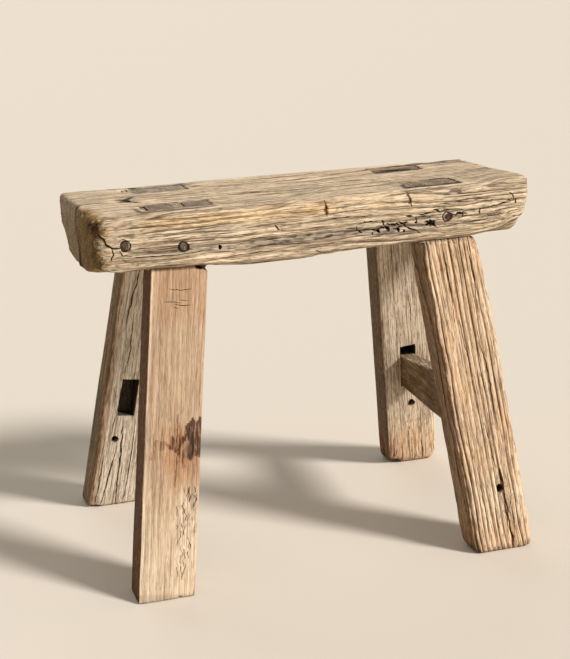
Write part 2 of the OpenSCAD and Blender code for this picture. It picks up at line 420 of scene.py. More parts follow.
def finish_timber(piece, node, slot, grain, look, seed, mark, buried=None):
    """Stores the grain, rings and marks, and places the piece. For a timber that was cut, buried
    gives the depth of points in the uncut timber, so that its cut surfaces can be told"""
    p = grain.local(points_of(piece))
    normal = np.zeros(len(p) * 3, np.float32)
    piece.data.vertices.foreach_get("normal", normal)
    normal = normal.reshape(-1, 3) @ grain.axes.T
    _, groove = weather(p, look, seed)
    marks = Marks(ring_phase(p, look, seed))
    marks.add("groove", groove)
    if buried:
        kept = np.zeros(len(p), np.float32)
        piece.data.attributes["kept"].data.foreach_get("value", kept)
        piece.data.attributes.remove(piece.data.attributes["kept"])
        # painted shade: cut surfaces darker the deeper they lie in cracks, holes and sockets
        marks.add("inside", (1 - kept) * smooth(0.2, 3.0, buried(p)))
    marks.add("ends", smooth(0.6, 0.9, np.abs(normal[:, 0])))
    marks.values["groove"] *= 1 - 0.8 * marks.values["ends"]
    mark(p, normal, marks, grain.world(p))
    marks.store(piece)
    store(piece, "grain", "FLOAT_VECTOR", p)
    piece.data.materials.clear()
    piece.data.materials.append(materials[slot])
    piece.data.shade_smooth()
    piece.data.set_sharp_from_angle(angle=math.radians(SHARP_ANGLE))
    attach(piece, "root")
    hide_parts(node)


# ---- Materials ----

class Nodes:
    """Short calls that build a material's node tree"""

    def __init__(self, material):
        material.use_nodes = True
        self.tree = material.node_tree
        self.tree.nodes.clear()

    def put(self, socket, value):
        if isinstance(value, bpy.types.NodeSocket):
            self.tree.links.new(value, socket)
        else:
            socket.default_value = value

    def attribute(self, name, output):
        node = self.tree.nodes.new("ShaderNodeAttribute")
        node.attribute_name = name
        return node.outputs[output]

    def parts(self, name):
        node = self.tree.nodes.new("ShaderNodeSeparateXYZ")
        self.put(node.inputs[0], self.attribute(name, "Vector"))
        return node.outputs

    def calc(self, op, a, b=0.0, clamp=False):
        node = self.tree.nodes.new("ShaderNodeMath")
        node.operation = op
        node.use_clamp = clamp
        self.put(node.inputs[0], a)
        self.put(node.inputs[1], b)
        return node.outputs[0]

    def times(self, a, b):
        return self.calc("MULTIPLY", a, b)

    def scaled(self, value, factor, offset):
        """value times factor plus offset"""
        result = self.calc("MULTIPLY_ADD", value, factor)
        self.put(result.node.inputs[2], offset)
        return result

    def stretch(self, vector, size, shift):
        node = self.tree.nodes.new("ShaderNodeVectorMath")
        node.operation = "MULTIPLY_ADD"
        self.put(node.inputs[0], vector)
        node.inputs[1].default_value = [1 / x for x in size]
        node.inputs[2].default_value = [shift] * 3
        return node.outputs[0]

    def noise(self, vector, size, shift, detail):
        node = self.tree.nodes.new("ShaderNodeTexNoise")
        node.inputs["Scale"].default_value = 1.0
        node.inputs["Detail"].default_value = detail
        node.inputs["Roughness"].default_value = 0.55
        self.put(node.inputs["Vector"], self.stretch(vector, size, shift))
        return node.outputs["Fac"]

    def ramp(self, value, stops):
        node = self.tree.nodes.new("ShaderNodeValToRGB")
        ramp = node.color_ramp
        while len(ramp.elements) < len(stops):
            ramp.elements.new(0.5)
        for element, (place, colour) in zip(ramp.elements, stops):
            element.position = place
            element.color = colour if isinstance(colour, tuple) else (colour,) * 3 + (1,)
        self.put(node.inputs[0], value)
        return node.outputs[0]

    def spread(self, value, low, high):
        return self.ramp(value, [(low, 0.0), (high, 1.0)])

    def blend(self, amount, a, b, kind="MIX"):
        node = self.tree.nodes.new("ShaderNodeMix")
        node.data_type = "RGBA"
        node.blend_type = kind
        node.clamp_factor = True
        self.put(node.inputs[0], amount)
        self.put(node.inputs[6], a)
        self.put(node.inputs[7], b)
        return node.outputs[2]


def linear(colour):
    """Colour picked as 0-255 screen values, as the linear colour that nodes use"""
    out = []
    for value in colour:
        x = value / 255
        out.append(x / 12.92 if x <= 0.04045 else ((x + 0.055) / 1.055) ** 2.4)
    return tuple(out) + (1.0,)


def tinted(colour, factor):
    """A picked colour made darker or brighter, as the linear colour that nodes use"""
    return linear([min(255, factor * value) for value in colour])


BUMP_STRENGTH = 0.5
BUMP_DEPTH = 0.0006
WOOD_ROUGHNESS = 0.85


def wood_material(name, tones, grey, warm, stain=(74, 36, 18), moss_and_shade=(92, 80, 44),
                  pale=(232, 214, 182), streaks=1.0, pores=1.0, lines=0.6, weathered=0.3):
    """Old wood. tones runs from the deepest groove to the brightest ridge"""
    material = bpy.data.materials.new(name)
    n = Nodes(material)
    grain = n.attribute("grain", "Vector")
    groove, grey_mark, dark = n.parts("wear_and_shade")
    warm_mark, stain_mark, moss_and_shade_mark = n.parts("tint")
    pale_mark, inside, ends = n.parts("more")

    def layer(size, shift, detail, low, high):
        return n.spread(n.noise(grain, size, shift, detail), low, high)

    # tone: streaks of three sizes and the late wood of each ring
    fine = layer((10, 0.9, 0.9), 3.1, 2.0, 0.38, 0.62)
    medium = layer((30, 1.6, 1.6), 7.7, 3.0, 0.38, 0.62)
    broad = layer((85, 9, 9), 1.3, 3.0, 0.36, 0.64)
    ring = n.calc("FRACT", n.attribute("rings", "Fac"))
    line = n.ramp(ring, [(0.0, 1.0), (0.10, 0.7), (0.25, 0.0), (0.88, 0.0), (1.0, 1.0)])
    line = n.times(n.times(line, groove), lines)
    late = n.ramp(ring, [(0.1, 0.1), (0.55, 0.45), (0.82, 1.0), (1.0, 0.4)])
    shares = [(fine, 0.30 * streaks), (medium, 0.32 * streaks), (broad, 0.2), (late, 0.16)]
    tone = 0.5 - sum(share for _, share in shares) / 2
    for streak, share in shares:
        tone = n.scaled(streak, share, tone)
    colour = n.ramp(tone, list(zip((0.02, 0.27, 0.5, 0.73, 0.98), [linear(c) for c in tones])))

    def shades(base, low, high):
        return n.ramp(tone, [(0.05, tinted(base, low)), (0.5, tinted(base, 1)), (0.95, tinted(base, high))])

    # weathering: grey, warm, pale, moss and stain; the pale colour also gives painted light and the moss
    # colour also gives painted shade
    blotch = n.noise(grain, (34, 13, 13), 9.2, 4.0)
    drift = n.ramp(blotch, [(0.42, 0.0), (0.60, 1.0)])
    grey_amount = n.times(drift, weathered)
    grey_amount = n.calc("ADD", grey_amount, n.times(grey_mark, 0.85), True)
    colour = n.blend(grey_amount, colour, shades(grey, 0.5, 1.3))
    colour = n.blend(n.times(warm_mark, 0.85), colour, shades(warm, 0.5, 1.2))
    colour = n.blend(n.times(pale_mark, 0.8), colour, shades(pale, 0.55, 1.15))
    speck = layer((3.2, 2.2, 2.2), 4.4, 3.0, 0.40, 0.62)
    moss_and_shade_amount = n.calc("MULTIPLY", moss_and_shade_mark, n.calc("ADD", n.times(speck, 0.35), 0.7), True)
    colour = n.blend(moss_and_shade_amount, colour, shades(moss_and_shade, 0.3, 1.45))
    ragged = layer((11, 2.2, 2.2), 2.2, 4.0, 0.38, 0.62)
    ragged = n.calc("ADD", n.times(ragged, 0.4), n.times(medium, 0.3))
    stain_amount = n.spread(n.times(stain_mark, n.calc("ADD", ragged, 0.5)), 0.48, 0.92)
    stain_tone = n.ramp(stain_amount, [(0.3, tinted(stain, 1.9)), (0.85, tinted(stain, 1))])
    colour = n.blend(n.times(stain_amount, 0.92), colour, stain_tone)

    # dark lines: ring edges, pores, hair cracks, end grain, cut surfaces darkened as painted shade, and
    # dirt and painted shade
    dark_wood = linear(tones[0])
    colour = n.blend(line, colour, dark_wood)
    pore = layer((7, 1.0, 1.0), 5.9, 1.0, 0.57, 0.64)
    hair = layer((40, 1.3, 1.3), 8.8, 2.0, 0.60, 0.66)
    fleck = n.calc("MAXIMUM", n.times(pore, 0.5 * pores), n.times(hair, 0.7 * pores))
    colour = n.blend(fleck, colour, dark_wood)
    colour = n.blend(n.times(ends, 0.3), colour, tinted(tones[1], 0.8), "MULTIPLY")
    colour = n.blend(n.times(inside, 0.8), colour, tinted(tones[0], 0.5))
    colour = n.blend(n.times(dark, 0.92), colour, tinted(tones[0], 0.4))

    # relief and shine
    height = n.scaled(fine, 0.3, n.times(medium, 0.3))
    height = n.calc("SUBTRACT", height, n.calc("ADD", n.times(fleck, 0.8), line))
    bump = n.tree.nodes.new("ShaderNodeBump")
    bump.inputs["Strength"].default_value = BUMP_STRENGTH
    bump.inputs["Distance"].default_value = BUMP_DEPTH
    n.put(bump.inputs["Height"], height)
    shader = n.tree.nodes.new("ShaderNodeBsdfPrincipled")
    n.put(shader.inputs["Base Color"], colour)
    n.put(shader.inputs["Roughness"], n.scaled(medium, 0.22, WOOD_ROUGHNESS - 0.11))
    shader.inputs["Specular IOR Level"].default_value = 0.25
    n.put(shader.inputs["Normal"], bump.outputs["Normal"])
    output = n.tree.nodes.new("ShaderNodeOutputMaterial")
    n.put(output.inputs["Surface"], shader.outputs[0])
    return material


MATERIALS = {
    "weathered_plank": dict(
        tones=[(60, 42, 29), (138, 116, 89), (184, 162, 134), (210, 190, 160), (230, 214, 188)],
        grey=(160, 146, 127), warm=(214, 182, 134), stain=(86, 54, 32), moss_and_shade=(132, 100, 38),
        pale=(208, 186, 156), weathered=0.3, streaks=0.9, lines=1.0),
    "tan_leg_wood": dict(
        tones=[(80, 50, 32), (144, 110, 82), (172, 144, 116), (192, 167, 140), (212, 192, 170)],
        grey=(158, 142, 124), warm=(164, 118, 80), stain=(66, 36, 18), moss_and_shade=(98, 56, 4),
        pale=(222, 200, 172), weathered=0.25, streaks=0.5, pores=0.45, lines=0.15),
    "grey_leg_wood": dict(
        tones=[(62, 48, 36), (158, 138, 116), (204, 186, 164), (226, 210, 190), (240, 228, 212)],
        grey=(186, 172, 154), warm=(158, 106, 58), stain=(88, 54, 28), moss_and_shade=(120, 86, 30),
        pale=(228, 212, 190), weathered=0.45, streaks=0.85, pores=0.8, lines=0.45),
    "ridged_leg_wood": dict(
        tones=[(66, 42, 26), (146, 112, 82), (196, 166, 132), (216, 188, 156), (234, 212, 184)],
        grey=(178, 160, 138), warm=(196, 146, 100), moss_and_shade=(100, 62, 6), pale=(232, 214, 186), weathered=0.35,
        streaks=0.85, lines=1.0),
    "pale_leg_wood": dict(
        tones=[(70, 52, 34), (158, 134, 108), (200, 180, 154), (220, 202, 178), (236, 220, 198)],
        grey=(184, 168, 148), warm=(204, 148, 98), stain=(96, 50, 24), moss_and_shade=(108, 72, 16),
        pale=(226, 206, 178), weathered=0.45, streaks=0.8, lines=0.45),
    "wedge_wood": dict(
        tones=[(80, 58, 38), (146, 122, 92), (184, 160, 128), (206, 184, 152), (226, 206, 176)],
        grey=(156, 140, 118), warm=(200, 150, 90), weathered=0.2),
    "grey_peg_wood": dict(
        tones=[(38, 30, 24), (88, 74, 60), (122, 106, 88), (150, 134, 114), (182, 166, 144)],
        grey=(120, 108, 94), warm=(120, 84, 56), weathered=0.4),
    "brown_peg_wood": dict(
        tones=[(26, 16, 12), (58, 38, 30), (84, 58, 46), (108, 80, 66), (140, 110, 94)],
        grey=(94, 76, 66), warm=(110, 60, 44), weathered=0.2),
    "repair_peg_wood": dict(
        tones=[(32, 22, 16), (74, 54, 40), (102, 78, 60), (130, 104, 82), (190, 168, 140)],
        grey=(118, 98, 84), warm=(120, 74, 52), weathered=0.2),
    "stretcher_wood": dict(
        tones=[(44, 30, 18), (94, 68, 38), (126, 94, 54), (152, 120, 78), (190, 162, 122)],
        grey=(176, 160, 138), warm=(150, 100, 56), weathered=0.2, lines=0.5),
}
materials = {slot: wood_material(slot, **settings) for slot, settings in MATERIALS.items()}


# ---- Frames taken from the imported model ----

def node_points(node):
    """A CAD node's points in millimetres"""
    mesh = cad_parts[node].data
    co = np.zeros(len(mesh.vertices) * 3, np.float32)
    mesh.vertices.foreach_get("co", co)
    return co.reshape(-1, 3).astype(float) / MM


seat_low, seat_high = [np.array(corner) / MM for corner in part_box("seat_plank")]
SEAT_H = seat_high[2]
SEAT_UNDER = seat_low[2]
FRONT_Y = round(seat_low[1])
TOP_Z = round(SEAT_H)


class Leg:
    """A leg's centre line, grain frame and section, read from its CAD node"""

    def __init__(self, node):
        self.node = node
        points = node_points(node)
        self.foot = self.middle(points, 0)
        shoulder = self.middle(points, SEAT_UNDER)
        self.run = shoulder - self.foot
        across = np.cross((0, self.run[2], -self.run[1]), self.run)
        self.grain = Grain(self.foot, self.run, across)
        shaft = self.grain.local(points[points[:, 2] < SEAT_UNDER + 0.1])
        self.half = np.ptp(shaft[:, 1:], axis=0) / 2
        tenon = self.grain.local(points[points[:, 2] > SEAT_H - 0.1])
        self.tenon_s = (tenon[:, 1].min(), tenon[:, 1].max())

    @staticmethod
    def middle(points, z):
        level = points[np.abs(points[:, 2] - z) < 0.1]
        return (level.min(axis=0) + level.max(axis=0)) / 2

    def at(self, z):
        return self.foot + self.run * z / self.run[2]

    def reach(self, z):
        """How far along the leg's centre line a level plane lies"""
        return self.plane_g(z, np.zeros((1, 3)))[0]

    def depth(self, local):
        """How far inside the plain board each point lies"""
        return (self.half - np.abs(local[:, 1:])).min(axis=1)

    def plane_g(self, z, local):
        """How far along the leg a level plane lies, for each point across its section"""
        g, s, t = self.grain.axes
        return (z - local[:, 1] * s[2] - local[:, 2] * t[2]) / g[2]


LEGS = {side: Leg("leg_" + side) for side in ("front_left", "back_left", "front_right", "back_right")}


def side_grain(front, back):
    """Frame of a stretcher: g from back to front, s up the board, t through it"""
    a, b = front.at(STRETCHER_Z), back.at(STRETCHER_Z)
    lean = (front.run / front.run[2] + back.run / back.run[2]) / 2
    origin = b + (STRETCHER_SHIFT, 0, 0)
    return Grain(origin, a - b, (lean[0], 0, 1)), np.linalg.norm(a - b)


def inner_face_g(leg, grain, local):
    """Where a leg's inner face lies along a stretcher, for each of the stretcher's points"""
    normal = leg.grain.axes[2] * (-np.sign(leg.foot[1]))
    face = leg.foot + normal * leg.half[1]
    base = grain.world(np.concatenate([np.zeros((len(local), 1)), local[:, 1:]], axis=1))
    return ((face - base) @ normal) / (grain.axes[0] @ normal)


# ---- Seat plank ----

seat_grain = Grain((0, 0, 0), (1, 0, 0), (0, 1, 0))
PEG_R = 4.35
MORTISE_GAP = 0.3
PACKING_ROOM = 3.2
UNDER_EDGE = [(-190, 4), (-169, 0.5), (-139, 2), (-97, 0.6), (-62, -3), (-16, -2.8), (24, 0),
              (69, 0.7), (100, 2), (138, 1.8), (162, 5), (170, 8), (178, 11.5), (187, 12.5)]
BACK_EDGE = [(-190, 3), (-172, 3.5), (-136, -2.5), (-90, 0), (11, 1), (108, -1.4), (160, -2.4), (190, -5)]
RIGHT_END = [(-72, 3.2), (-50, 4.0), (-20, 1.0), (0, 0.5), (12, 2.0), (24, 1.0), (60, -2.5)]
LEFT_END = [(-66, 1.5), (-34, 0.5), (0, -0.5), (30, -1.5), (66, -2.5)]
# centre, radii and depth of hollows worn, chipped or rotted into the seat
SEAT_DENTS = [
    ((-190, -30, 313), (7, 10, 6), 3.0),
    ((-189, -62, 305), (6, 8, 6), 3.2),
    ((-33, -71, 290), (3, 3, 6), 1.6),
    ((66, -71, 280), (30, 4, 5), 1.4),
    ((102, -71, 282), (7, 4, 5), 1.5),
    ((126, -70, 308), (9, 5, 4), 1.4),
    ((4, -69, 265), (9, 6, 4), 1.8),
    ((-139, -36, 313), (7, 9, 5), 2.2),
    ((-90, -34, 313), (6, 7, 4), 1.2),
    ((-137, 52, 313), (7, 7, 5), 2.0),
    ((0, 0, 315), (150, 50, 6), 1.0),
    ((150, 75, 312), (40, 14, 10), 2.0),
]


def seat_relief(p, normal):
    """How much of the worn relief each point gets: less on the top, the ends and the left part"""
    level = 1 - 0.68 * smooth(0.5, 0.9, normal[:, 2]) - 0.3 * smooth(0.6, 0.9, np.abs(normal[:, 0]))
    return level * (1 - 0.6 * smooth(-135, -170, p[:, 0]))


SEAT_LOOK = dict(ring=3.4, pith=(60, 180), wander=3.2, ridge=1.5, fibre=0.16, swell=0.8, even=0.35,
                 face=seat_relief)


def curve(x, points):
    """Value of a drawn line at x"""
    return np.interp(x, [q[0] for q in points], [q[1] for q in points])


def seat_skin():
    half = (seat_high - seat_low) / 2
    unit, faces = block_skin(counts_for(half))
    a, b, c = unit.T
    left, right = smooth(-0.6, -0.95, a), smooth(0.6, 0.95, a)
    front, corner = smooth(0.3, -0.8, b), smooth(-0.2, -0.95, b)
    top, under = smooth(-0.3, 0.7, c), smooth(0.3, -0.7, c)
    radius = np.stack([
        4 + 10 * left * corner + 6 * right * under - 1.5 * left * under - 1.5 * right * top,
        4 + 5.5 * front * top * (1 - 0.8 * right) + 9 * left * corner,
        4 + 4.5 * front * top * (1 - 0.8 * right) + 6 * right * under + 3 * left * top - 1.5 * left * under,
    ], axis=1)
    return rounded(unit, half, radius) + (seat_low + seat_high) / 2, faces


def press(move, normal, depth, mask):
    """Adds a hollow to the points' moves: depth against the normal where the mask is 1"""
    move -= normal * (depth * mask)[:, None]


def seat_shape(p, normal):
    """Bowed edges, worn ends and hollows"""
    x, y, z = p.T
    move = np.zeros_like(p)
    move[:, 2] += smooth(-50, -64, y) * smooth(294, 268, z) * curve(x, UNDER_EDGE)
    move[:, 1] += smooth(30, 66, y) * curve(x, BACK_EDGE)
    move[:, 0] += smooth(140, 186, x) * curve(y, RIGHT_END) + smooth(-150, -186, x) * curve(y, LEFT_END)
    move[:, 0] -= 2.8 * smooth(150, 188, x) * smooth(303, 276, z)
    move[:, 2] += 2.4 * smooth(140, 184, x) * smooth(300, 310, z) * smooth(20, -50, y)
    end = smooth(-172, -188, x)
    move[:, 2] -= 3.0 * end * smooth(274, 266, z) * band(y, -42, 24, 14)
    move[:, 0] += 4.0 * end * smooth(290, 268, z) * smooth(34, 66, y)
    hollow = 1.2 * smooth(-6, -10, y) * smooth(-60, -30, y)
    move[:, 0] += end * (1.4 * layered(p, (30, 9, 15), 310) - hollow)
    for centre, radii, depth in SEAT_DENTS:
        press(move, normal, depth, blob(p, centre, radii, 0.25))
    return move


def near(p, route, width):
    """1 on a route of points, falling to 0 at the given distance"""
    best = np.full(len(p), 1e9)
    for a, b in zip(route[:-1], route[1:]):
        a, b = np.asarray(a, float), np.asarray(b, float)
        share = np.clip((p - a) @ (b - a) / np.dot(b - a, b - a), 0, 1)
        best = np.minimum(best, np.linalg.norm(p - a - share[:, None] * (b - a), axis=1))
    return smooth(width, 0.3 * width, best)


def knot(p, phase, centre, axis, radius, rings):
    """Growth rings of a knot laid over the timber's own: the phase, the knot's mask and the
    distance from its axis"""
    d = p - np.asarray(centre, float)
    axis = np.asarray(axis, float) / np.linalg.norm(axis)
    away = np.linalg.norm(d - (d @ axis)[:, None] * axis, axis=1)
    away = away * (1 + 0.12 * noise(p, (4, 4, 4), 77))
    inside = smooth(1.08 * radius, 0.95 * radius, away) * (np.abs(d @ axis) < 12)
    return np.where(inside > 0.5, away / rings, phase), inside, away


def outside_mortise(leg, p):
    """Distance of each point from a leg's mortise, less than 0 within it"""
    q = leg.grain.local(p)
    low, high = leg.tenon_s
    return np.maximum(np.abs(q[:, 1] - (low + high) / 2) - (high - low) / 2, np.abs(q[:, 2]) - TENON_T / 2)


def seat_cloud(p):
    """Broad patches of the seat's colour"""
    return layered(p, (38, 16, 16), 301)


def seat_streak(p):
    """Long thin stripes of the seat's colour"""
    return layered(p, (70, 5, 5), 302)


def mark_seat_faces(p, marks, top, front):
    """Greying, pale and warm wood on the top, the front edge and the arris between them"""
    x, y, z = p.T
    cloud, streak = seat_cloud(p), seat_streak(p)
    marks.add("grey", top * (0.02 + 0.3 * cloud) + front * smooth(0.2, 0.7, streak) * 0.25)
    marks.add("pale", top * (0.46 + 0.4 * layered(p, (60, 12, 12), 306)))
    marks.add("warm", top * smooth(0.1, 0.7, layered(p, (50, 14, 14), 307)) * 0.3)
    marks.add("grey", front * band(z, 278, 283, 2) * band(x, -110, 44, 14) * (0.9 + 0.5 * streak))
    speckle = smooth(-0.2, 0.4, layered(p, (6, 2.2, 1.8), 312))
    marks.add("dark", front * band(z - 0.02 * x, 278, 284, 1.4) * band(x, -70, 42, 12) * speckle * 0.9)
    marks.add("grey", front * band(z, 292, 298, 2) * band(x, -120, -60, 15) * 0.5)
    arris = smooth(-58, -64, y) * band(z, 299.5, 309, 2)
    marks.add("warm", arris * band(x, -146, 20, 12) * (0.62 + 0.6 * layered(p, (22, 6, 6), 303)))
    marks.add("warm", arris * band(x, 20, 150, 20) * (0.15 + 0.6 * layered(p, (22, 6, 6), 304)))
    marks.add("pale", front * band(z, 266, 273, 2.5) * band(x, -178, -60, 12) * (0.5 + 0.5 * streak))
    marks.add("pale", front * band(z, 292, 304, 3) * band(x, 20, 110, 20) * (0.35 + 0.5 * streak))
    right = smooth(50, 110, x) * front * (0.45 + 0.3 * streak)
    marks.add("pale", right + smooth(140, 176, x) * front * 0.2)


def mark_left_end(p, marks, top, left_end):
    """Moss, dirt, broken wood and painted shade along the end crack at the seat's left-hand end"""
    x, y, z = p.T
    corner = smooth(-160, -180, x) * smooth(-8, -16, y)
    mossy = left_end * 0.9 + smooth(-172, -186, x) * 0.6
    marks.add("moss_and_shade", corner * mossy * (0.85 + 0.5 * seat_cloud(p)))
    deep = layered(p, (12, 12, 12), 314)
    marks.add("dark", left_end * smooth(-30, -56, y) * smooth(-0.3, 0.4, deep) * 0.7)
    clean = smooth(-0.3, 0.5, layered(p, (10, 12, 12), 315))
    marks.add("pale", left_end * smooth(-52, -30, y) * clean * 0.5)
    low_end = left_end * smooth(-14, -8, y) * smooth(307, 292, z)
    marks.add("grey", low_end * 0.4)
    marks.add("moss_and_shade", low_end * 0.3 + left_end * smooth(-14, -8, y) * 0.15)
    # painted shade along the end crack and the break above it
    marks.lift("inside", smooth(-181, -185, x) * near(p, END_CRACK, 9 + 4 * smooth(300, 275, z)))
    marks.lift("inside", near(p, END_CRACK_TOP, 4) * 0.7)
    patches = smooth(0.0, 0.6, layered(p, (20, 12, 12), 311))
    marks.add("moss_and_shade", top * smooth(-150, -184, x) * patches * 0.6)
    marks.add("dark", blob(p, (-186, -62, 304), (8, 11, 6), 0.9) * 0.35)
    marks.add("moss_and_shade", blob(p, (-186, -50, 304), (13, 30, 10), 0.5) * 0.9)
    marks.add("stain", blob(p, (-185, -60, 302), (12, 15, 11), 0.4) * 0.95)
    marks.add("stain", blob(p, (-139, -30, 312), (9, 11, 5), 0.5) * 0.9)


def mark_rot(p, marks, front):
    """Dark, worm-eaten bands in the right-hand half of the front edge"""
    x, _, z = p.T
    worm = band(x, 44, 95, 6) * band(z, 276, 284, 2) * front
    marks.add("grey", worm * 0.9)
    marks.add("dark", worm * smooth(-0.3, 0.3, layered(p, (6, 2.6, 2.6), 305)) * 0.6)
    marks.add("dark", blob(p, (102, -70, 282), (5.5, 5, 4), 0.7) * 0.9)
    stripes = smooth(0, 0.5, seat_streak(p))
    marks.add("dark", front * band(x, 92, 180, 10) * band(z, 286, 292, 1.6) * stripes * 0.4)
    fine = smooth(0.0, 0.35, layered(p, (5, 2.0, 1.6), 313))
    slanting = band(z - 0.08 * (x - 118), 285, 289, 1.6)
    marks.add("dark", front * band(x, 118, 160, 10) * slanting * fine * 0.7)


def mark_joints(p, marks, top):
    """Grime round the tenons, stains round the front pegs, and soft dark lines"""
    for leg in LEGS.values():
        d = np.abs(outside_mortise(leg, p))
        grime = smooth(2.8, 0.5, d) * smooth(-0.5, 0.3, noise(p, (5, 3, 3), 308))
        marks.add("dark", top * grime * 0.95)
        marks.add("stain", top * smooth(7, 0, d) * smooth(0.0, 0.5, noise(p, (12, 5, 5), 309)) * 0.85)
    for centre in ((8, -70, 302), (83, -70, 303)):
        # less painted shade in the front peg holes
        marks.values["inside"] *= 1 - 0.8 * blob(p, centre, (9, 18, 14))
        marks.add("stain", blob(p, centre, (4, 9, 9), 0.3) * 0.95)
    for route, width, depth in SEAT_LINES:
        marks.add("dark", near(p, route, width) * depth)


def mark_seat(p, normal, marks, world):
    """Colour marks of the seat, ending with the small knot in its left front corner"""
    x = p[:, 0]
    top = smooth(0.5, 0.9, normal[:, 2])
    front = smooth(0.35, 0.8, -normal[:, 1])
    left_end = smooth(0.45, 0.85, -normal[:, 0])
    mark_seat_faces(p, marks, top, front)
    mark_left_end(p, marks, top, left_end)
    mark_rot(p, marks, front)
    mark_joints(p, marks, top)
    marks.phase, inside, away = knot(p, marks.phase, (-184, -66, 291.6), (-0.55, -0.8, 0), 4.7, 1.5)
    marks.values["moss_and_shade"] *= 1 - inside
    marks.values["groove"] *= 1 - 0.65 * smooth(-135, -165, x)
    marks.lift("groove", inside)
    pits = smooth(0.25, 0.55, layered(p, (4.5, 2.6, 2.6), 316))
    marks.add("dark", front * smooth(-120, -160, x) * pits * 0.55)
    marks.add("pale", inside * 0.5)
    marks.add("warm", inside * 0.3)
    rim = smooth(3.9, 4.9, away) * smooth(6.4, 5.1, away)
    marks.add("dark", rim * (np.abs(x + 184) < 8) * front * 0.5)


def on_front(*places):
    """Points on the seat's front edge, from x and z pairs"""
    return [(x, FRONT_Y, z) for x, z in places]


def on_top(*places):
    """Points on the seat's top, from x and y pairs"""
    return [(x, y, TOP_Z) for x, y in places]


FRONT, UP, LEFT = (0, -1, 0), (0, 0, 1), (-1, 0, 0)


def front_crack(width, depth, *places):
    return on_front(*places), FRONT, width, depth


def top_crack(width, depth, *places):
    return on_top(*places), UP, width, depth


# soft dark lines: route on the surface, width and strength
SEAT_LINES = [
    (on_front((-160, 283.4), (-140, 281), (-115, 279.7)), 2.4, 0.55),
    (on_top((-42, -4), (-34, -8), (-26, -12)), 4.0, 0.85),
    (on_top((-96, -10), (-60, -12), (-20, -14), (24, -16), (84, -18)), 2.6, 0.6),
    (on_top((-15, -47), (38, -35), (84, -33)), 2.4, 0.55),
    (on_front((114, 294), (116, 291)), 2.4, 0.6),
    (on_top((-133, 42), (-115, 6)), 1.5, 0.3),
    (on_top((-152, 7), (-146, 5), (-139, 16)), 4.0, 0.95),
    (on_top((-147, 8), (-144, -6)), 3.6, 0.95),
    (on_top((-151, -2), (-146, 4)), 3.4, 0.9),
    (on_top((84, -58.5), (106, -58), (134, -57)), 4.2, 0.95),
    (on_top((84, -57), (85, -46)), 3.0, 0.9),
    (on_top((90, 25), (110, 24.5), (128, 25.5)), 3.4, 0.8),
    (on_top((-144, -58), (-120, -58), (-84, -57)), 3.4, 0.8),
    (on_top((-146, -56), (-148, -40)), 3.0, 0.8),
    (on_top((-150, 64), (-136, 66), (-128, 60)), 3.0, 0.8),
]

# ragged breaks and then plain cracks cut into the seat: route, outward direction, width, depth
END_CRACK = [(-191, -1, 309), (-191, -3, 298), (-191, -7, 284), (-191, -11, 268), (-191, -13, 260)]
END_CRACK_TOP = [(-192, 3, 307), (-187, 1, 312), (-180, 3, 313), (-168, 2, 313)]
SEAT_BREAKS = [
    (END_CRACK, LEFT, 11.0, 9),
    (END_CRACK_TOP, (-0.4, 0, 1), 3.0, 4),
    ([(-186, -66, 300.5), (-182, -70, 297), (-180, -70, 295.5), (-178.5, -70, 290.5), (-174, -70, 288),
      (-171, -70, 286.5), (-166, -70, 287.5)], (-0.4, -1, 0.1), 3.4, 6),
    ([(-175, -70, 288), (-173, -70, 282), (-176, -69.5, 277)], FRONT, 2.0, 4),
    front_crack(1.8, 4, (-169, 291), (-165, 293.5), (-158, 292)),
    front_crack(1.8, 4, (-168, 285), (-166, 280), (-158, 279)),
]
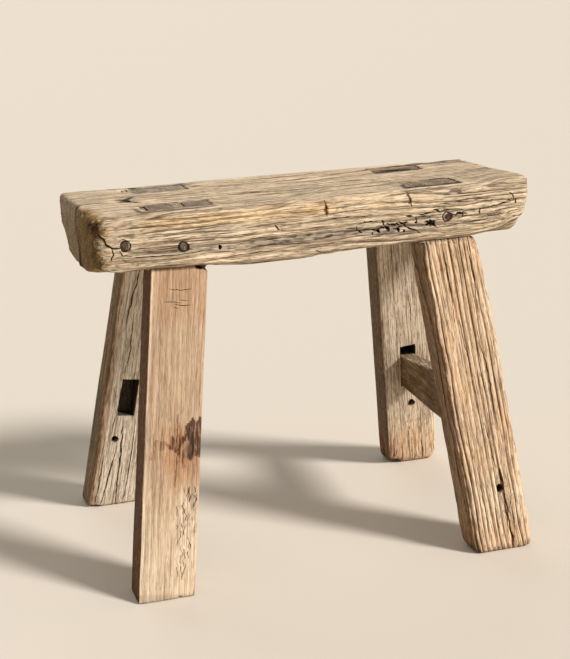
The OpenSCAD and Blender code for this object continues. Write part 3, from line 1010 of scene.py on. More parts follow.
SEAT_CRACKS = [
    front_crack(1.5, 3, (-178, 279), (-150, 278), (-120, 277), (-92, 279)),
    front_crack(1.0, 2.5, (-150, 296), (-120, 295), (-84, 297)),
    front_crack(1.0, 2.5, (-120, 272), (-80, 271), (-30, 273)),
    front_crack(1.2, 2.5, (-20, 293), (20, 294), (66, 293)),
    front_crack(1.3, 3, (100, 277), (130, 279), (170, 281)),
    front_crack(2.0, 4, (108, 291), (118, 292.5), (132, 291)),
    front_crack(1.4, 4, (122, 283), (134, 285), (150, 284)),
    top_crack(4.2, 4, (-151, 14), (-146, 2), (-139, -13)),
    top_crack(3.8, 4, (-149, -1), (-142, -6), (-136, -14)),
    top_crack(2.6, 3, (-152, 5), (-144, 6), (-137, 4)),
    top_crack(0.7, 0.7, (-75.3, 23), (-76.6, -9), (-77.5, -44)),
    top_crack(1.4, 2, (-39, -5), (-33, -9), (-26, -12)),
    top_crack(1.2, 2, (-44, 2), (-34, 0)),
    top_crack(3.0, 4, (84, -53.5), (106, -52.5), (130, -50.5)),
    top_crack(3.2, 4, (-143, -48), (-128, -48.5), (-114, -48.5)),
    top_crack(2.6, 4, (-106, -48.5), (-94, -48.5), (-84, -47)),
    top_crack(2.4, 4, (-133, 66), (-110, 67), (-88, 66)),
    top_crack(2.4, 4, (84, 29), (104, 30), (134, 29)),
    top_crack(1.0, 2, (-20, -14), (2, -15), (24, -16)),
    top_crack(0.8, 1.5, (30, -15), (70, -17)),
    top_crack(0.7, 1.2, (-15, -47), (38, -35), (88, -32)),
    top_crack(0.8, 1.2, (-30, 20), (40, 18), (110, 20)),
    front_crack(1.4, 4, (96, 286), (104, 288.5), (112, 288)),
    front_crack(1.2, 4, (124, 287), (134, 289.5), (148, 290)),
    front_crack(1.0, 3, (150, 291), (166, 292), (184, 296)),
    front_crack(1.4, 3, (-3, 269), (1, 267), (5, 264)),
    ([(150, 71, 300), (90, 71, 298), (20, 71, 300)], (0, 1, 0), 1.1, 4),
    ([(-170, 71, 280), (-100, 71, 283), (-30, 71, 281)], (0, 1, 0), 1.2, 5),
    front_crack(3.0, 3, (-37.5, 294), (-35, 291), (-33, 288)),
    ([(-172, -69.5, 307.4), (-168, -69, 308.4), (-163, -68, 309.8)], FRONT, 3.0, 3),
    front_crack(1.5, 3, (174, 303), (178, 300), (179, 296)),
    front_crack(1.6, 3, (160, 287), (168, 288), (180, 288.5)),
    ([(191, -20, 311), (191, -8, 296), (191, 4, 280)], (1, 0, 0), 1.4, 6),
    ([(191, 34, 312), (191, 30, 298)], (1, 0, 0), 1.1, 5),
    ([(-190, -40, 266), (-120, -30, 265), (-40, -34, 265)], (0, 0, -1), 1.4, 4),
]
# short jagged cracks in the rotted patches of the front edge: width, then x and z along the route
WORM_DEPTH = 3.5
WORM_CRACKS = [
    (3.0, (57, 289), (58.5, 286), (60, 284)),
    (3.6, (60, 284.5), (63, 281), (61.5, 277.5)),
    (3.4, (47, 281), (52, 280), (56, 281.5), (61, 283)),
    (3.2, (60, 284), (66, 284.5), (73, 283)),
    (2.8, (66, 280.5), (71, 279.5), (76, 281.5)),
    (2.4, (50, 279), (49, 276.5)),
    (2.8, (75, 285.5), (80, 281.5), (86, 278), (92, 274)),
    (2.2, (71, 286), (77, 284), (81, 284.5)),
    (5.0, (95, 283), (100, 282), (106, 284.5)),
    (3.6, (98, 281.5), (103, 280.5), (107, 278.5)),
    (3.0, (101, 286), (102, 282), (101, 278.5)),
    (2.6, (79, 290.6), (82, 289.6), (85, 289)),
    (1.7, (88.7, 289.5), (88.4, 286), (88.8, 282.6)),
    (1.7, (34.5, 286.5), (35.5, 282), (39, 279)),
    (1.5, (34.5, 286.5), (42, 288.5), (54, 287.5)),
    (2.6, (103.5, 293.4), (107.5, 291.6), (111, 290)),
    (1.8, (90, 291), (98, 290.4), (106, 291)),
    (2.6, (121, 288), (128, 287.3), (136, 286.7)),
    (1.8, (128, 289.5), (131, 287), (130, 284.5)),
    (1.9, (145.6, 291.4), (146.5, 288.5), (147.4, 285.6)),
    (1.5, (147, 290), (160, 291.5), (172, 294), (182, 296.4)),
    (2.2, (180.6, 297), (180.0, 291.5)),
    (1.5, (150, 284), (157, 283), (168, 284)),
]
# saw cuts in the front arris, wide at the top and closing downwards: route, width and depth
NICKS = [([(7.2, -67, 311), (7.9, -70, 306), (8.3, -71, 296)], 4.4, 2.4),
         ([(80.6, -66, 312), (82.4, -70, 306), (84.6, -71, 297)], 4.0, 2.2)]
WORM_HOLES = [(-84.8, 279.9, 1.7), (54, 279.5, 1.5), (62, 281.5, 1.6), (72, 279, 1.7), (77, 277.5, 1.2),
              (101, 282.5, 2.2), (104.5, 280.5, 1.5), (98, 281, 1.2), (88, 284, 1.1), (130, 288, 0.9)]
# crumbled spots along the tenons' edges on the top: x, y and radius
CRUMBS = [(-140, -44, 2.0), (-137, -39, 1.4), (-133, -47, 1.3), (-127, -48, 1.1), (-121, -47.5, 1.4),
          (-108, -44, 1.6), (-112, -40, 1.2), (-104, -48, 1.2), (-96, -47.5, 1.3), (-88, -40, 1.5),
          (-85, -33, 1.3), (-90, -45, 1.1), (-140, 52, 1.8), (-136, 55, 1.3), (-133, 50, 1.2),
          (88, 33, 1.5), (92, 30, 1.2), (97, 29, 1.3), (126, 31, 1.1),
          (86, -58, 1.5), (93, -57, 1.2), (99, -58, 1.5), (107, -57, 1.1), (113, -58, 1.4), (121, -57, 1.2)]
PEGS = {
    "peg_front_left": ("grey_peg_wood", 0.3),
    "peg_front_right": ("brown_peg_wood", -0.4),
    "peg_back_left": ("grey_peg_wood", 0.2),
    "peg_back_right": ("brown_peg_wood", 0.4),
    "repair_peg": ("repair_peg_wood", 0.0),
}


def peg_line(node):
    """Where a peg's axis meets the seat's edge, its direction into the wood and its length"""
    low, high = [np.array(corner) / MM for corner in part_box(node)]
    middle = (low + high) / 2
    side = np.sign(middle[1])
    start = np.array([middle[0], side * seat_high[1], middle[2]])
    return start, np.array([0, -side, 0]), high[1] - low[1]


def mortise(leg):
    """Cutter for a leg's mortise through the seat, set along the leg as its tenon is"""
    low, high = leg.tenon_s
    if leg is LEGS["front_left"]:
        low -= PACKING_ROOM
    reach = leg.reach((SEAT_H + SEAT_UNDER) / 2)
    half = (44, (high - low) / 2 + MORTISE_GAP, TENON_T / 2 + MORTISE_GAP)
    return block(leg.grain, (reach, (low + high) / 2, 0), half, 0.45, 2.2, int(abs(leg.foot[0])))


def seat_cutters():
    cutters = [mortise(leg) for leg in LEGS.values()]
    for k, node in enumerate(PEGS):
        start, direction, length = peg_line(node)
        cutters.append(drill(start, direction, PEG_R + 0.25, length + 1.5, 0.05, seed=11 + k))
    for k, (route, outward, width, depth) in enumerate(SEAT_BREAKS + SEAT_CRACKS):
        wander, jag = (1.6, 4) if k < len(SEAT_BREAKS) else (0.5, 9)
        cutters.append(crack(route, outward, 0.75 * width, depth, wander, 40 + k, jag))
    for k, (width, *places) in enumerate(WORM_CRACKS):
        cutters.append(crack(on_front(*places), FRONT, width, WORM_DEPTH, 2.4, 90 + k, 3.0))
    for k, (route, width, depth) in enumerate(NICKS):
        cutters.append(crack(route, (0, -0.9, 0.4), width, depth, 0.3, 25 + k))
    for x, z, radius in WORM_HOLES:
        cutters.append(drill((x, FRONT_Y, z), (0.1, 1, -0.1), radius, 6, 0.15, 10, int(abs(x))))
    for x, y, radius in CRUMBS:
        cutters.append(drill((x, y, SEAT_H), (0.2, 0.1, -1), 1.15 * radius, 2.2, 0.25, 9, int(abs(x))))
    cutters += splits(seat_grain, 30, (-170, -70, 268), (185, -70, 306), 1, -1, 1.1, 2.5, 700)
    cutters += splits(seat_grain, 38, (-170, -58, 312), (180, 62, 312), 2, 1, 1.1, 1.8, 740)
    cutters += splits(seat_grain, 16, (-175, 70, 270), (175, 70, 306), 1, 1, 1.0, 3.0, 780)
    return cutters


def seat_depth(p):
    """How far inside the seat's box each point lies"""
    return np.minimum(p - seat_low, seat_high - p).min(axis=1)


def build_seat():
    seed = 100
    local, faces = seat_skin()
    local, normal = worn(local, faces, SEAT_LOOK, seed)
    piece = make_object("seat_plank_timber", seat_grain.world(local + seat_shape(local, normal)), faces)
    cut(piece, seat_cutters())
    finish_timber(piece, "seat_plank", "weathered_plank", seat_grain, SEAT_LOOK, seed, mark_seat,
                  seat_depth)


build_seat()


# ---- Legs ----

def leg_relief(p, normal):
    """How much of the worn relief each point gets: less on the end grain"""
    return 1 - 0.6 * smooth(0.6, 0.9, np.abs(normal[:, 0]))


LEG_LOOKS = {
    "front_left": dict(ring=3.0, pith=(-60, 60), wander=2.0, ridge=0.14, fibre=0.07, swell=0.5, even=0.3),
    "back_left": dict(ring=3.2, pith=(60, 44), wander=2.5, ridge=0.6, fibre=0.16, swell=0.7, even=0.3),
    "front_right": dict(ring=4.7, pith=(-90, 16), wander=4.0, ridge=1.5, fibre=0.2, swell=0.6, even=0.3),
    "back_right": dict(ring=3.2, pith=(66, 40), wander=1.8, ridge=0.5, fibre=0.12, swell=0.6, even=0.35),
}
# radius of the long edges, of the foot's edges and of the shoulder's edges
LEG_EDGES = {
    "front_left": (1.4, 1.6, 1.0),
    "back_left": (3.6, 3.0, 1.5),
    "front_right": (3.4, 7.0, 6.0),
    "back_right": (3.8, 7.5, 2.0),
}
# how far each leg's two narrow faces stand out from the plain board, in millimetres
LEG_SPREAD = {
    "front_left": (1.4, 1.3),
    "back_left": (1.3, 0.5),
    "front_right": (0.4, 2.4),
    "back_right": (3.0, 0.5),
}
SLOTS = {
    "front_left": "tan_leg_wood",
    "back_left": "grey_leg_wood",
    "front_right": "ridged_leg_wood",
    "back_right": "pale_leg_wood",
}
# lower and upper edge of the stretcher's socket in each leg, up from the stretcher's lower edge
SOCKETS = {
    "front_left": EMPTY_SOCKET,
    "back_left": EMPTY_SOCKET,
    "front_right": FRONT_TENON,
    "back_right": BACK_SOCKET,
}
SHOULDER_OVERLAP = 1.2
TENON_DROP = 0.3
WEDGE_L, WEDGE_TIP, WEDGE_HEAD, WEDGE_DROP = 21, 1.5, 9, 0.6
WEDGE_GAP = 0.35


def level_ends(leg, p, half_length, low_z, high_z):
    """Slides a block's points along the leg, so that its ends lie level at the two heights"""
    share = p[:, 0] / half_length / 2 + 0.5
    low_end = leg.plane_g(low_z, p)
    high_end = leg.plane_g(high_z, p)
    p[:, 0] = low_end + share * (high_end - low_end)


def shaft_skin(side):
    """Leg from the floor to just inside the seat's underside, with level ends"""
    leg = LEGS[side]
    edge, foot, shoulder = LEG_EDGES[side]
    half = np.array([leg.reach(SEAT_UNDER + SHOULDER_OVERLAP) / 2, *leg.half])
    unit, faces = block_skin(counts_for(half, 1.7, 1.15))
    down, up = smooth(-0.8, -0.97, unit[:, 0]), smooth(0.8, 0.97, unit[:, 0])
    along = edge + (foot - edge) * down + (shoulder - edge) * up
    across = edge + 0.6 * (foot - edge) * down + 0.6 * (shoulder - edge) * up
    p = rounded(unit, half, np.maximum(np.stack([along, across, across], axis=1), 0.8))
    left, right = LEG_SPREAD[side]
    p[:, 1] += (right - left) / 2 + (right + left) / 2 * p[:, 1] / half[1]
    level_ends(leg, p, half[0], 0.0, SEAT_UNDER + SHOULDER_OVERLAP)
    return p, faces


def level_block(leg, low_z, high_z, low_s, high_s, half_t, step=1.4):
    """Closed block along a leg between two heights, level at both ends"""
    half = np.array([leg.reach(high_z - low_z) / 2, (high_s - low_s) / 2, half_t])
    unit, faces = block_skin(counts_for(half, 2.0, step))
    p = rounded(unit, half, np.full((len(unit), 3), 0.7))
    p[:, 1] += (low_s + high_s) / 2
    level_ends(leg, p, half[0], low_z, high_z)
    return p, faces


def socket(leg, front, back, heights, gap=0.5):
    """Cutter for a stretcher's socket in a leg's inner face"""
    grain, _ = side_grain(front, back)
    middle = np.array([[0, sum(heights) / 2, 0]])
    face = inner_face_g(leg, grain, middle)[0]
    inward = 1 if leg is front else -1
    centre = (face + inward * (SOCKET_DEPTH - 12) / 2, middle[0][1], 0)
    half = ((SOCKET_DEPTH + 12) / 2, (heights[1] - heights[0]) / 2 + gap, STRETCHER_T / 2 + gap)
    return block(grain, centre, half, 0.35, 2.2, 5 + int(abs(leg.foot[1])))


def shape_front_left(p, normal, move):
    g, s, t = p.T
    left_edge = smooth(-17, -22, s) * smooth(0.2, 0.9, -t / 15)
    press(move, normal, 0.7, left_edge * (0.6 + noise(p, (26, 90, 90), 61)))
    ragged = smooth(9, 0, g) * smooth(0, 0.5, layered(p, (40, 3.6, 8), 62)) * (0.35 + smooth(0, 14, s))
    move[:, 0] += 1.6 * ragged


def shape_back_left(p, normal, move):
    g, s, t = p.T
    move[:, 0] += 3.0 * smooth(8, 0, g) * smooth(-0.2, 0.6, layered(p, (40, 3, 3), 66))
    press(move, normal, 1.6, blob(p, (0, -20, -14), (16, 7, 9), 0.2))
    left = smooth(-15, -23, s) * smooth(-8, -15, t)
    press(move, normal, 1.3, left * np.clip(0.5 + layered(p, (13, 5, 5), 67), 0, 2))


def shape_front_right(p, normal, move):
    g, s, t = p.T
    press(move, normal, 3.0, blob(p, (272, 24, -14), (18, 7, 9), 0.2))
    move[:, 1] -= 1.5 * smooth(190, 262, g) * smooth(8, 22, s)
    left = smooth(-19, -24, s) * smooth(-6, -15, t)
    press(move, normal, 2.0, left * np.clip(0.3 + layered(p, (13, 6, 6), 68), 0, 2))
    press(move, normal, 1.4, near(p, FOOT_GROOVE, 3.4))


def shape_back_right(p, normal, move):
    press(move, normal, 3.2, blob(p, (0, -22, -10), (26, 11, 18), 0.2))
    press(move, normal, 2.0, blob(p, (0, 24, -12), (14, 7, 12), 0.2))


# groove worn up from the front right leg's foot, in the leg's grain frame
FOOT_GROOVE = [(0, 9, -15), (30, 9, -15), (52, 10, -15)]
LEG_SHAPES = {
    "front_left": shape_front_left,
    "back_left": shape_back_left,
    "front_right": shape_front_right,
    "back_right": shape_back_right,
}
# knot stain on the front left leg's front: centre, radii and strength
KNOT_STAIN = [
    ((127, 16, -15), (20, 16, 14), 1.0),
    ((127, 3, -15), (10, 8, 14), 0.95),
    ((137, 21, -14), (14, 6, 14), 1.0),
    ((113, 9, -15), (15, 6, 14), 0.75),
    ((125, -10, -15), (6, 12, 14), 0.75),
    ((117, -16, -15), (9, 5, 14), 0.7),
]


def leg_cloud(p):
    """Broad patches of a leg's colour"""
    return layered(p, (46, 13, 13), 320)


def leg_streak(p):
    """Long thin stripes of a leg's colour"""
    return layered(p, (80, 3.5, 3.5), 321)


def ragged_y(world):
    """Shared-frame y with an uneven offset, for the torn edges of tenons"""
    return world[:, 1] + 2.5 * noise(world, (4, 4, 4), 332)


def mark_front_left(p, marks, front, left, tenon, world):
    g, s, _ = p.T
    for centre, radii, amount in KNOT_STAIN:
        marks.lift("stain", amount * np.minimum(2.4 * blob(p, centre, radii, 0.6, 323), 1))
    marks.values["stain"] *= 1 - 0.8 * blob(p, (123, 13, -15), (9, 5, 9), 0.5, 334)
    marks.add("warm", blob(p, (112, 8, -15), (38, 20, 12), 0.5) * 0.8)
    marks.add("dark", blob(p, (127, 15, -15), (17, 11, 9), 1.1, 324) * 0.8)
    craze = blob(p, (62, 13, -15), (46, 13, 8), 0.5)
    marks.add("pale", craze * 0.5)
    speck = smooth(0.25, 0.5, layered(p, (5, 2.4, 2.4), 325))
    marks.add("dark", craze * speck * front * smooth(2, 12, s) * 0.5)
    marks.add("pale", smooth(-19.5, -22, s) * front * 0.8)
    torn = smooth(0.1, 0.4, layered(p, (9, 2.2, 2.2), 326))
    marks.add("dark", smooth(5, 0, g) * smooth(8, 18, s) * torn)
    marks.add("warm", band(g, 225, 275, 8) * front * 0.30)
    marks.add("pale", smooth(120, 20, g) * front * 0.7)
    # painted shade: the left faces darker and browner
    marks.add("dark", left * 0.34)
    marks.add("moss_and_shade", left * 1.0)


def mark_back_left(p, marks, front, left, tenon, world):
    g, s, t = p.T
    streak = leg_streak(p)
    marks.add("grey", 0.10 + 0.3 * leg_cloud(p))
    # painted light on the upper front, where the seat's shadow falls
    marks.add("pale", smooth(120, 200, g) * 0.8 * front)
    marks.add("pale", smooth(110, 20, g) * (0.3 + 0.3 * streak))
    torn = smooth(-17.5, -20.5, s) * smooth(-8, -13, t)
    marks.add("warm", torn * (0.8 + 0.5 * streak))
    marks.add("stain", torn * smooth(0.0, 0.5, layered(p, (16, 3, 3), 327)) * 0.7)
    marks.add("warm", band(g, 246, 268, 8) * 0.4)
    marks.add("warm", smooth(22, 4, g) * smooth(0, 0.5, streak) * 0.8)
    # painted shade: the left faces kept free of grey and made darker and browner
    marks.values["grey"] *= 1 - left
    marks.add("dark", left * 0.36)
    marks.add("moss_and_shade", left * 0.8)


def mark_front_right(p, marks, front, left, tenon, world):
    g, s, _ = p.T
    streak = leg_streak(p)
    marks.add("warm", 0.12 + 0.35 * leg_cloud(p))
    marks.add("warm", smooth(34, 6, g) * 0.55)
    marks.add("grey", band(s, 11, 22, 4) * smooth(0.0, 0.5, streak) * 0.5)
    marks.add("stain", near(p, FOOT_GROOVE, 3.4) * 0.6)
    marks.add("dark", smooth(14, 0, g) * smooth(-18, -24, s) * 0.6)
    marks.add("dark", tenon * smooth(-50, -53, ragged_y(world)) * 0.95)
    # painted shade: the left faces darker and browner
    marks.add("dark", left * 0.2)
    marks.add("moss_and_shade", left * 0.6)
    marks.add("pale", smooth(110, 30, g) * (0.3 + 0.4 * streak) * front)


def mark_back_right(p, marks, front, left, tenon, world):
    g, s, _ = p.T
    streak = leg_streak(p)
    hole = near(world, on_top((103, 38), (110, 35), (117, 34)), 8)
    marks.add("dark", tenon * (0.3 + 0.7 * hole))
    marks.add("dark", tenon * smooth(35, 31, ragged_y(world)) * 0.8)
    marks.values["dark"] *= 1 - 0.6 * tenon * smooth(42, 46, world[:, 1])
    marks.add("warm", tenon * 0.5)
    # grey only off the left faces, which stay darker as painted shade
    marks.add("grey", smooth(60, 100, g) * (0.28 + 0.3 * leg_cloud(p)) * (1 - left))
    marks.add("warm", smooth(70, 30, g) * (0.55 + 0.6 * streak))
    marks.add("stain", smooth(60, 14, g) * smooth(-6, -16, s) * smooth(-0.2, 0.3, streak) * 1.3)
    marks.add("pale", smooth(74, 50, g) * front * 0.35)
    # painted shade: the left faces darker and browner
    marks.add("dark", left * 0.42)
    marks.add("moss_and_shade", left * 0.9)


LEG_MARKS = {
    "front_left": mark_front_left,
    "back_left": mark_back_left,
    "front_right": mark_front_right,
    "back_right": mark_back_right,
}


def mark_leg_for(side):
    """Colour marks of one leg: what all legs share and then the leg's own, with painted shade on its left
    faces
    """
    def mark(p, normal, marks, world):
        front = smooth(0.4, 0.85, -normal[:, 2])
        # left: the faces turned away from the key light, which each leg's marks paint darker and browner as
        # painted shade
        left = smooth(0.4, 0.85, -normal[:, 1])
        tenon = smooth(SEAT_UNDER - 2, SEAT_UNDER + 6, world[:, 2])
        marks.add("grey", tenon)
        marks.add("dark", tenon * (0.28 + 0.3 * smooth(0, 0.6, noise(p, (3, 5, 4), 331))))
        marks.add("dark", smooth(3.2, 0.0, p[:, 0]) * 0.25)
        LEG_MARKS[side](p, marks, front, left, tenon, world)
    return mark


# nail holes in the legs' front faces: s, g and radius
NAIL_HOLES = {"back_left": (-9, 77, 3.5), "front_right": (6, 51, 3.4), "back_right": (0, 75, 3.8)}
# the hole in the back right tenon's top, as drills: x, y and radius
TENON_HOLE = [(104, 37, 2.0), (108, 36, 3.0), (112, 34.5, 3.4), (116, 33.5, 2.6)]
# cracks on a leg's front face: route as (g, s), width, depth
LEG_CRACKS = {
    "back_left": [
        ([(262, 9), (215, 13), (180, 15)], 2.2, 7), ([(180, 15), (150, 10), (128, 8.5)], 1.6, 5),
        ([(70, -6), (40, -9), (14, -12), (2, -14)], 2.0, 6),
        ([(100, -4), (60, -1), (20, 0), (2, 1)], 2.2, 7),
        ([(96, 8), (50, 9), (8, 8)], 1.4, 4), ([(210, -9), (170, -7), (140, -10)], 1.3, 4),
        ([(150, 2), (120, -10), (84, -13)], 1.2, 4), ([(265, -8), (230, -12), (196, -15)], 1.8, 5),
        ([(60, -17), (30, -18), (4, -19)], 1.4, 4),
    ],
    "front_right": [
        ([(270, 15), (235, 16), (205, 14)], 1.6, 5), ([(190, 10), (150, 14), (110, 12)], 1.6, 5),
        ([(200, -4), (160, -2), (128, -3)], 1.3, 4), ([(110, 2), (86, 4), (70, 5)], 1.4, 4),
        ([(68, 8.5), (58, 9), (44, 10)], 3.2, 7), ([(49, 10), (40, 9.5), (28, 10.5)], 3.0, 5),
        ([(36, 8), (26, 8.5), (14, 7.5)], 2.4, 5), ([(22, 10), (12, 9.5), (-3, 10)], 2.8, 5),
        ([(44, 13.5), (30, 13), (12, 13)], 1.6, 4), ([(40, 6.5), (24, 6.5), (4, 6)], 1.4, 4),
        ([(262, -8), (230, -7), (200, -9)], 1.4, 4), ([(60, -12), (30, -11), (8, -12)], 1.4, 4),
    ],
    "back_right": [
        ([(200, 3), (180, 4), (160, 3)], 1.0, 3), ([(50, -4), (36, -5), (20, -6)], 0.9, 3),
        ([(30, 8), (16, 9), (4, 9)], 1.3, 4), ([(240, 12), (210, 11)], 0.9, 3),
    ],
    "front_left": [
        ([(150, 3), (118, 4), (90, 3)], 0.7, 2), ([(277, 6), (274, 14), (272, 22), (272, 36)], 9, 9),
        ([(253, -9), (252.6, 0), (253.4, 11)], 1.0, 2.0), ([(242, -12), (242.5, -4), (241.5, 3)], 0.9, 2.0),
        ([(240.5, -3), (239.5, 4), (240.5, 11)], 1.2, 2.2), ([(238, -4), (237.4, 1)], 0.9, 1.6),
        ([(244.5, 1), (244, 8)], 1.0, 1.5),
    ],
}


def leg_cutters(side):
    leg = LEGS[side]
    face = -leg.half[1]
    end = side.split("_")[1]
    cutters = [socket(leg, LEGS["front_" + end], LEGS["back_" + end], SOCKETS[side])]
    if side in NAIL_HOLES:
        s, g, radius = NAIL_HOLES[side]
        cutters.append(drill(leg.grain.world((g, s, face)), leg.grain.axes[2], radius, 14, 0.08, 16, 21))
    jag = 2.5 if side == "front_left" else 6
    for k, (route, width, depth) in enumerate(LEG_CRACKS[side]):
        world = [leg.grain.world((g, s, face)) for g, s in route]
        cutters.append(crack(world, -leg.grain.axes[2], 0.7 * width, depth, 1.0, 70 + 9 * k, jag))
    for node in PEGS:
        if node.endswith(side):
            start, direction, length = peg_line(node)
            cutters.append(drill(start, direction, PEG_R + 0.3, length + 1, 0.02, seed=11))
    if side == "back_right":
        for x, y, radius in TENON_HOLE:
            cutters.append(drill((x, y, SEAT_H), (0, 0.1, -1), radius, 11, 0.15, 12, x))
    if side == "front_left":
        low, high = (14, 5, face), (100, 21, face)
        cutters += splits(leg.grain, 34, low, high, 2, -1, 0.75, 1.5, 762, (4, 12), 2.2, 3.0)
        cutters.append(wedge_slot(leg))
    return cutters


def wedge_slot(leg):
    """Cutter for the wedge's slot: a little wider than the wedge and open above the tenon"""
    above = 8
    top = leg.reach(SEAT_H)
    unit, faces = block_skin((14, 8, 18))
    g = unit[:, 0] * (WEDGE_L + above) / 2 + top + (above - WEDGE_L) / 2
    half_s = (WEDGE_TIP + (g - top + WEDGE_L) / WEDGE_L * (WEDGE_HEAD - WEDGE_TIP)) / 2 + WEDGE_GAP
    p = np.stack([g, unit[:, 1] * half_s, unit[:, 2] * (TENON_T / 2 + 2 * WEDGE_GAP)], axis=1)
    return make_object("cutter", leg.grain.world(p), faces)


def tenon_plug(leg, seed):
    """The leg's tenon, up through the seat, with rough end grain on top"""
    low, high = leg.tenon_s
    p, faces = level_block(leg, SEAT_UNDER - 0.4, SEAT_H - TENON_DROP, low, high, TENON_T / 2)
    top = smooth(0.5, 0.9, normals_of(p, faces) @ leg.grain.axes[:, 2])
    relief = 0.45 * layered(p, (5, 2.2, 2.2), seed + 5) + 0.35 * noise(p, (30, 9, 9), seed + 6) - 0.35
    p[:, 0] += relief * top
    return make_object("tenon", leg.grain.world(p), faces)


def build_leg(side):
    leg = LEGS[side]
    look = dict(LEG_LOOKS[side], face=leg_relief)
    seed = 200 + 20 * list(LEGS).index(side)
    local, faces = shaft_skin(side)
    local, normal = worn(local, faces, look, seed)
    move = np.zeros_like(local)
    LEG_SHAPES[side](local, normal, move)
    local = local + move
    local[:, 0] = np.maximum(local[:, 0], leg.plane_g(0.0, local))
    piece = make_object("leg_" + side + "_timber", leg.grain.world(local), faces)
    combine(piece, [tenon_plug(leg, seed)], "UNION")
    cut(piece, leg_cutters(side))
    finish_timber(piece, leg.node, SLOTS[side], leg.grain, look, seed, mark_leg_for(side), leg.depth)


for side in LEGS:
    build_leg(side)


# ---- Wedge, packing strip and pegs ----


def full_relief(p, normal):
    """All of the worn relief everywhere"""
    return np.ones(len(p))


SMALL_LOOK = dict(ring=1.7, pith=(0.7, 0.5), wander=0.4, ridge=0.22, fibre=0.10, swell=0.12,
                  even=0.6, face=full_relief)


def roughen_end(p, faces, relief):
    """Moves the points of a small block's upper end by the relief"""
    p[:, 0] += relief * smooth(0.5, 0.9, normals_of(p, faces)[:, 0])


def build_wedge():
    leg = LEGS["front_left"]
    half = np.array([WEDGE_L / 2, WEDGE_HEAD / 2, TENON_T / 2 - 0.3])
    unit, faces = block_skin(counts_for(half, 0.9, 0.8))
    p = rounded(unit, half, np.full((len(unit), 3), 0.6))
    share = p[:, 0] / half[0] / 2 + 0.5
    p[:, 1] *= 0.18 + 0.80 * share
    top = SEAT_H - WEDGE_DROP
    level_ends(leg, p, half[0], top - 20, top)
    roughen_end(p, faces, 0.7 * layered(p, (6, 1.6, 1.6), 91) - 0.35)
    look = dict(SMALL_LOOK, pith=(-20, 9), ring=1.9)
    piece = make_object("wedge_front_left_wood", leg.grain.world(p), faces)

    def mark(p, normal, marks, world):
        marks.add("stain", smooth(0.1, 0.5, layered(p, (9, 3, 3), 92)) * 0.5)
        marks.add("grey", 0.25)
    finish_timber(piece, "wedge_front_left", "wedge_wood", leg.grain, look, 401, mark)


def build_packing():
    leg = LEGS["front_left"]
    low = leg.tenon_s[0]
    p, faces = level_block(leg, SEAT_H - 19, SEAT_H - 1.4, low - 2.9, low - 0.1, TENON_T / 2 - 2.2, 0.8)
    roughen_end(p, faces, 1.0 * layered(p, (6, 2.0, 2.0), 94) - 0.5)
    piece = make_object("packing_front_left_wood", leg.grain.world(p), faces)
    look = dict(SMALL_LOOK, pith=(-30, 6))

    def mark(p, normal, marks, world):
        marks.add("dark", smooth(0.0, 0.5, layered(p, (9, 3, 3), 95)) * 0.5)
    finish_timber(piece, "packing_front_left", "wedge_wood", leg.grain, look, 402, mark)


def build_peg(node, slot, proud, seed):
    """Whittled peg with a slightly domed, ringed end"""
    start, direction, length = peg_line(node)
    grain = Grain(start - direction * proud, direction, (0.2, 0, 1))
    half = np.array([length / 2, PEG_R, PEG_R])
    unit, faces = block_skin(counts_for(half, 1.0, 0.55))
    p = rounded(unit, half, np.tile([1.3, PEG_R, PEG_R], (len(unit), 1)))
    p[:, 0] += half[0]
    p[:, 1:] *= (1 + 0.03 * np.sin(3 * np.arctan2(p[:, 2], p[:, 1]) + seed))[:, None]
    p, _ = worn(p, faces, SMALL_LOOK, seed)
    piece = make_object(node + "_wood", grain.world(p), faces)

    def mark(p, normal, marks, world):
        right = world[:, 0] - grain.origin[0]
        away = np.hypot(p[:, 1], p[:, 2])
        marks.values["ends"] *= 0.3
        marks.add("dark", smooth(3.1, 4.2, away) * 0.7)
        marks.add("dark", 0.25 + 0.3 * noise(p, (3, 2.5, 2.5), 96))
        if node == "peg_front_right":
            # pale crescent on the left of the end: a painted highlight
            marks.add("pale", smooth(2.0, 3.0, away) * smooth(4.1, 3.6, away) * (right < 0))
        if node == "peg_front_left":
            marks.add("dark", smooth(2.4, 3.0, away) * smooth(3.9, 3.2, away) * (p[:, 1] < 1.5) * 0.6)
        if node == "repair_peg":
            # pale rim on the right of the end: a painted highlight
            marks.add("pale", smooth(2.0, 3.0, right) * smooth(4.6, 4.1, away))
    finish_timber(piece, node, slot, grain, SMALL_LOOK, seed, mark)


build_wedge()
build_packing()
for number, (node, (slot, proud)) in enumerate(PEGS.items()):
    build_peg(node, slot, proud, 410 + number)


# ---- Side stretcher ----

STRETCHER_LOOK = dict(ring=2.4, pith=(70, -30), wander=3.0, ridge=0.30, fibre=0.14, swell=0.5, even=0.4,
                      face=full_relief)


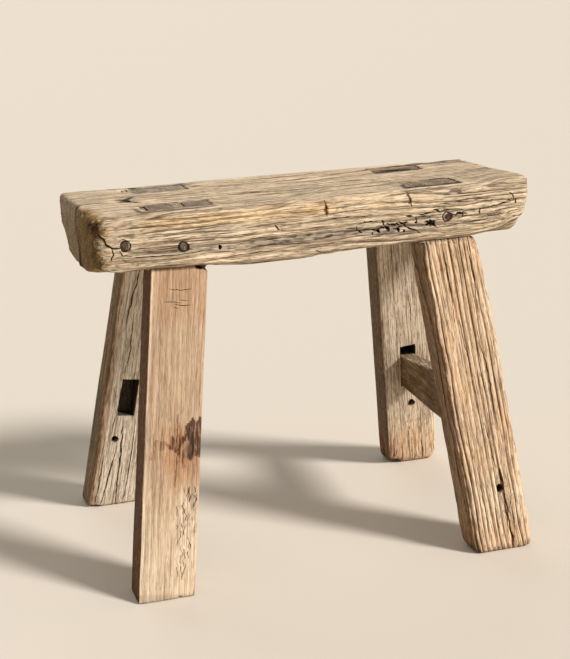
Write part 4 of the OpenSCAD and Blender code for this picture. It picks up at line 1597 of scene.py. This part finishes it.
def build_stretcher():
    front, back = LEGS["front_right"], LEGS["back_right"]
    grain, span = side_grain(front, back)
    half = np.array([span / 2, 22.0, STRETCHER_T / 2])
    unit, faces = block_skin(counts_for(half, 1.5, 1.1))
    p = rounded(unit, half, np.tile([1.0, 1.6, 1.6], (len(unit), 1)))
    share = p[:, 0] / half[0] / 2 + 0.5
    up = p[:, 1] / half[1] / 2 + 0.5
    back_end = inner_face_g(back, grain, p) - SOCKET_DEPTH + 1
    front_end = inner_face_g(front, grain, p) + 0.6
    p[:, 0] = back_end + share * (front_end - back_end)
    rise = np.clip(p[:, 0] / span, 0, 1) ** 1.3
    p[:, 1] = up * (STRETCHER_BACK_H + STRETCHER_RISE * rise)
    saw = 0.13 * np.sin((p[:, 0] + 0.7 * p[:, 1]) / 2.3 * math.pi)
    p, normal = worn(p, faces, STRETCHER_LOOK, 500)
    p = p + normal * (saw * smooth(0.6, 0.9, np.abs(normal[:, 2])))[:, None]
    piece = make_object("side_stretcher_board", grain.world(p), faces)
    middle = np.array([[0, sum(FRONT_TENON) / 2, 0]])
    face = inner_face_g(front, grain, middle)[0]
    tenon_half = (SOCKET_DEPTH / 2 + 2, (FRONT_TENON[1] - FRONT_TENON[0]) / 2, STRETCHER_T / 2 - 0.3)
    plug = block(grain, (face + SOCKET_DEPTH / 2 - 3, middle[0][1], 0), tenon_half, 0.1, 2.0)
    combine(piece, [plug], "UNION")

    def mark(p, normal, marks, world):
        top = smooth(0.4, 0.85, normal[:, 1])
        marks.add("grey", top * 0.6)
        # painted shade on the faces below the top, and darker towards the back end
        marks.add("dark", (1 - top) * 0.12 + smooth(16, 0, p[:, 0]) * 0.3)
    finish_timber(piece, "side_stretcher", "stretcher_wood", grain, STRETCHER_LOOK, 500, mark)


build_stretcher()


# ---- Floor, light and camera ----

# the camera's turn, dip and lean in degrees, its place in metres and its focal length
CAMERA_ANGLES = (-16.80, 15.33, -2.26)
CAMERA_PLACE = (-0.3815, -1.2273, 0.535)
CAMERA_LENS = 81.3


def plain_material(name, colour, roughness):
    material = bpy.data.materials.new(name)
    material.use_nodes = True
    shader = material.node_tree.nodes["Principled BSDF"]
    shader.inputs["Base Color"].default_value = linear(colour)
    shader.inputs["Roughness"].default_value = roughness
    return material


def add_floor():
    size = 60.0
    mesh = bpy.data.meshes.new("floor")
    corners = [(-size, -size, 0), (size, -size, 0), (size, size, 0), (-size, size, 0)]
    mesh.from_pydata(corners, [], [(0, 1, 2, 3)])
    floor = bpy.data.objects.new("floor", mesh)
    bpy.context.scene.collection.objects.link(floor)
    mesh.materials.append(plain_material("pale_floor", (206, 197, 184), 0.9))


def add_sun(name, towards, strength, spread):
    """Broad soft light from a long way off"""
    data = bpy.data.lights.new(name, "SUN")
    data.energy = strength
    data.angle = math.radians(spread)
    data.color = (1.0, 0.97, 0.93)
    light = bpy.data.objects.new(name, data)
    bpy.context.scene.collection.objects.link(light)
    light.location = Vector(towards) * 3
    light.rotation_mode = "QUATERNION"
    light.rotation_quaternion = Vector(towards).normalized().to_track_quat("Z", "Y")


def add_camera():
    """Camera at the photograph's viewing angle"""
    yaw, pitch, roll = [math.radians(angle) for angle in CAMERA_ANGLES]
    forward = Vector((-math.sin(yaw) * math.cos(pitch), math.cos(yaw) * math.cos(pitch), -math.sin(pitch)))
    level = Vector((math.cos(yaw), math.sin(yaw), 0))
    upright = level.cross(forward)
    right = math.cos(roll) * level + math.sin(roll) * upright
    up = math.cos(roll) * upright - math.sin(roll) * level
    data = bpy.data.cameras.new("camera")
    data.sensor_fit = "AUTO"
    data.sensor_width = 36
    data.lens = CAMERA_LENS
    data.clip_end = 200
    camera = bpy.data.objects.new("camera", data)
    bpy.context.scene.collection.objects.link(camera)
    turn = Matrix((right, up, -forward)).transposed().to_4x4()
    camera.matrix_world = Matrix.Translation(CAMERA_PLACE) @ turn
    bpy.context.scene.camera = camera


def add_world():
    world = bpy.data.worlds.new("studio")
    world.use_nodes = True
    background = world.node_tree.nodes["Background"]
    background.inputs["Color"].default_value = (1.0, 0.95, 0.88, 1)
    background.inputs["Strength"].default_value = 0.38
    bpy.context.scene.world = world


add_floor()
add_world()
add_sun("key", (0.70, -0.66, 0.66), 4.5, 12)
add_sun("back", (-0.05, 0.90, 0.55), 0.8, 50)
add_camera()
bpy.context.scene.view_settings.view_transform = "Standard"
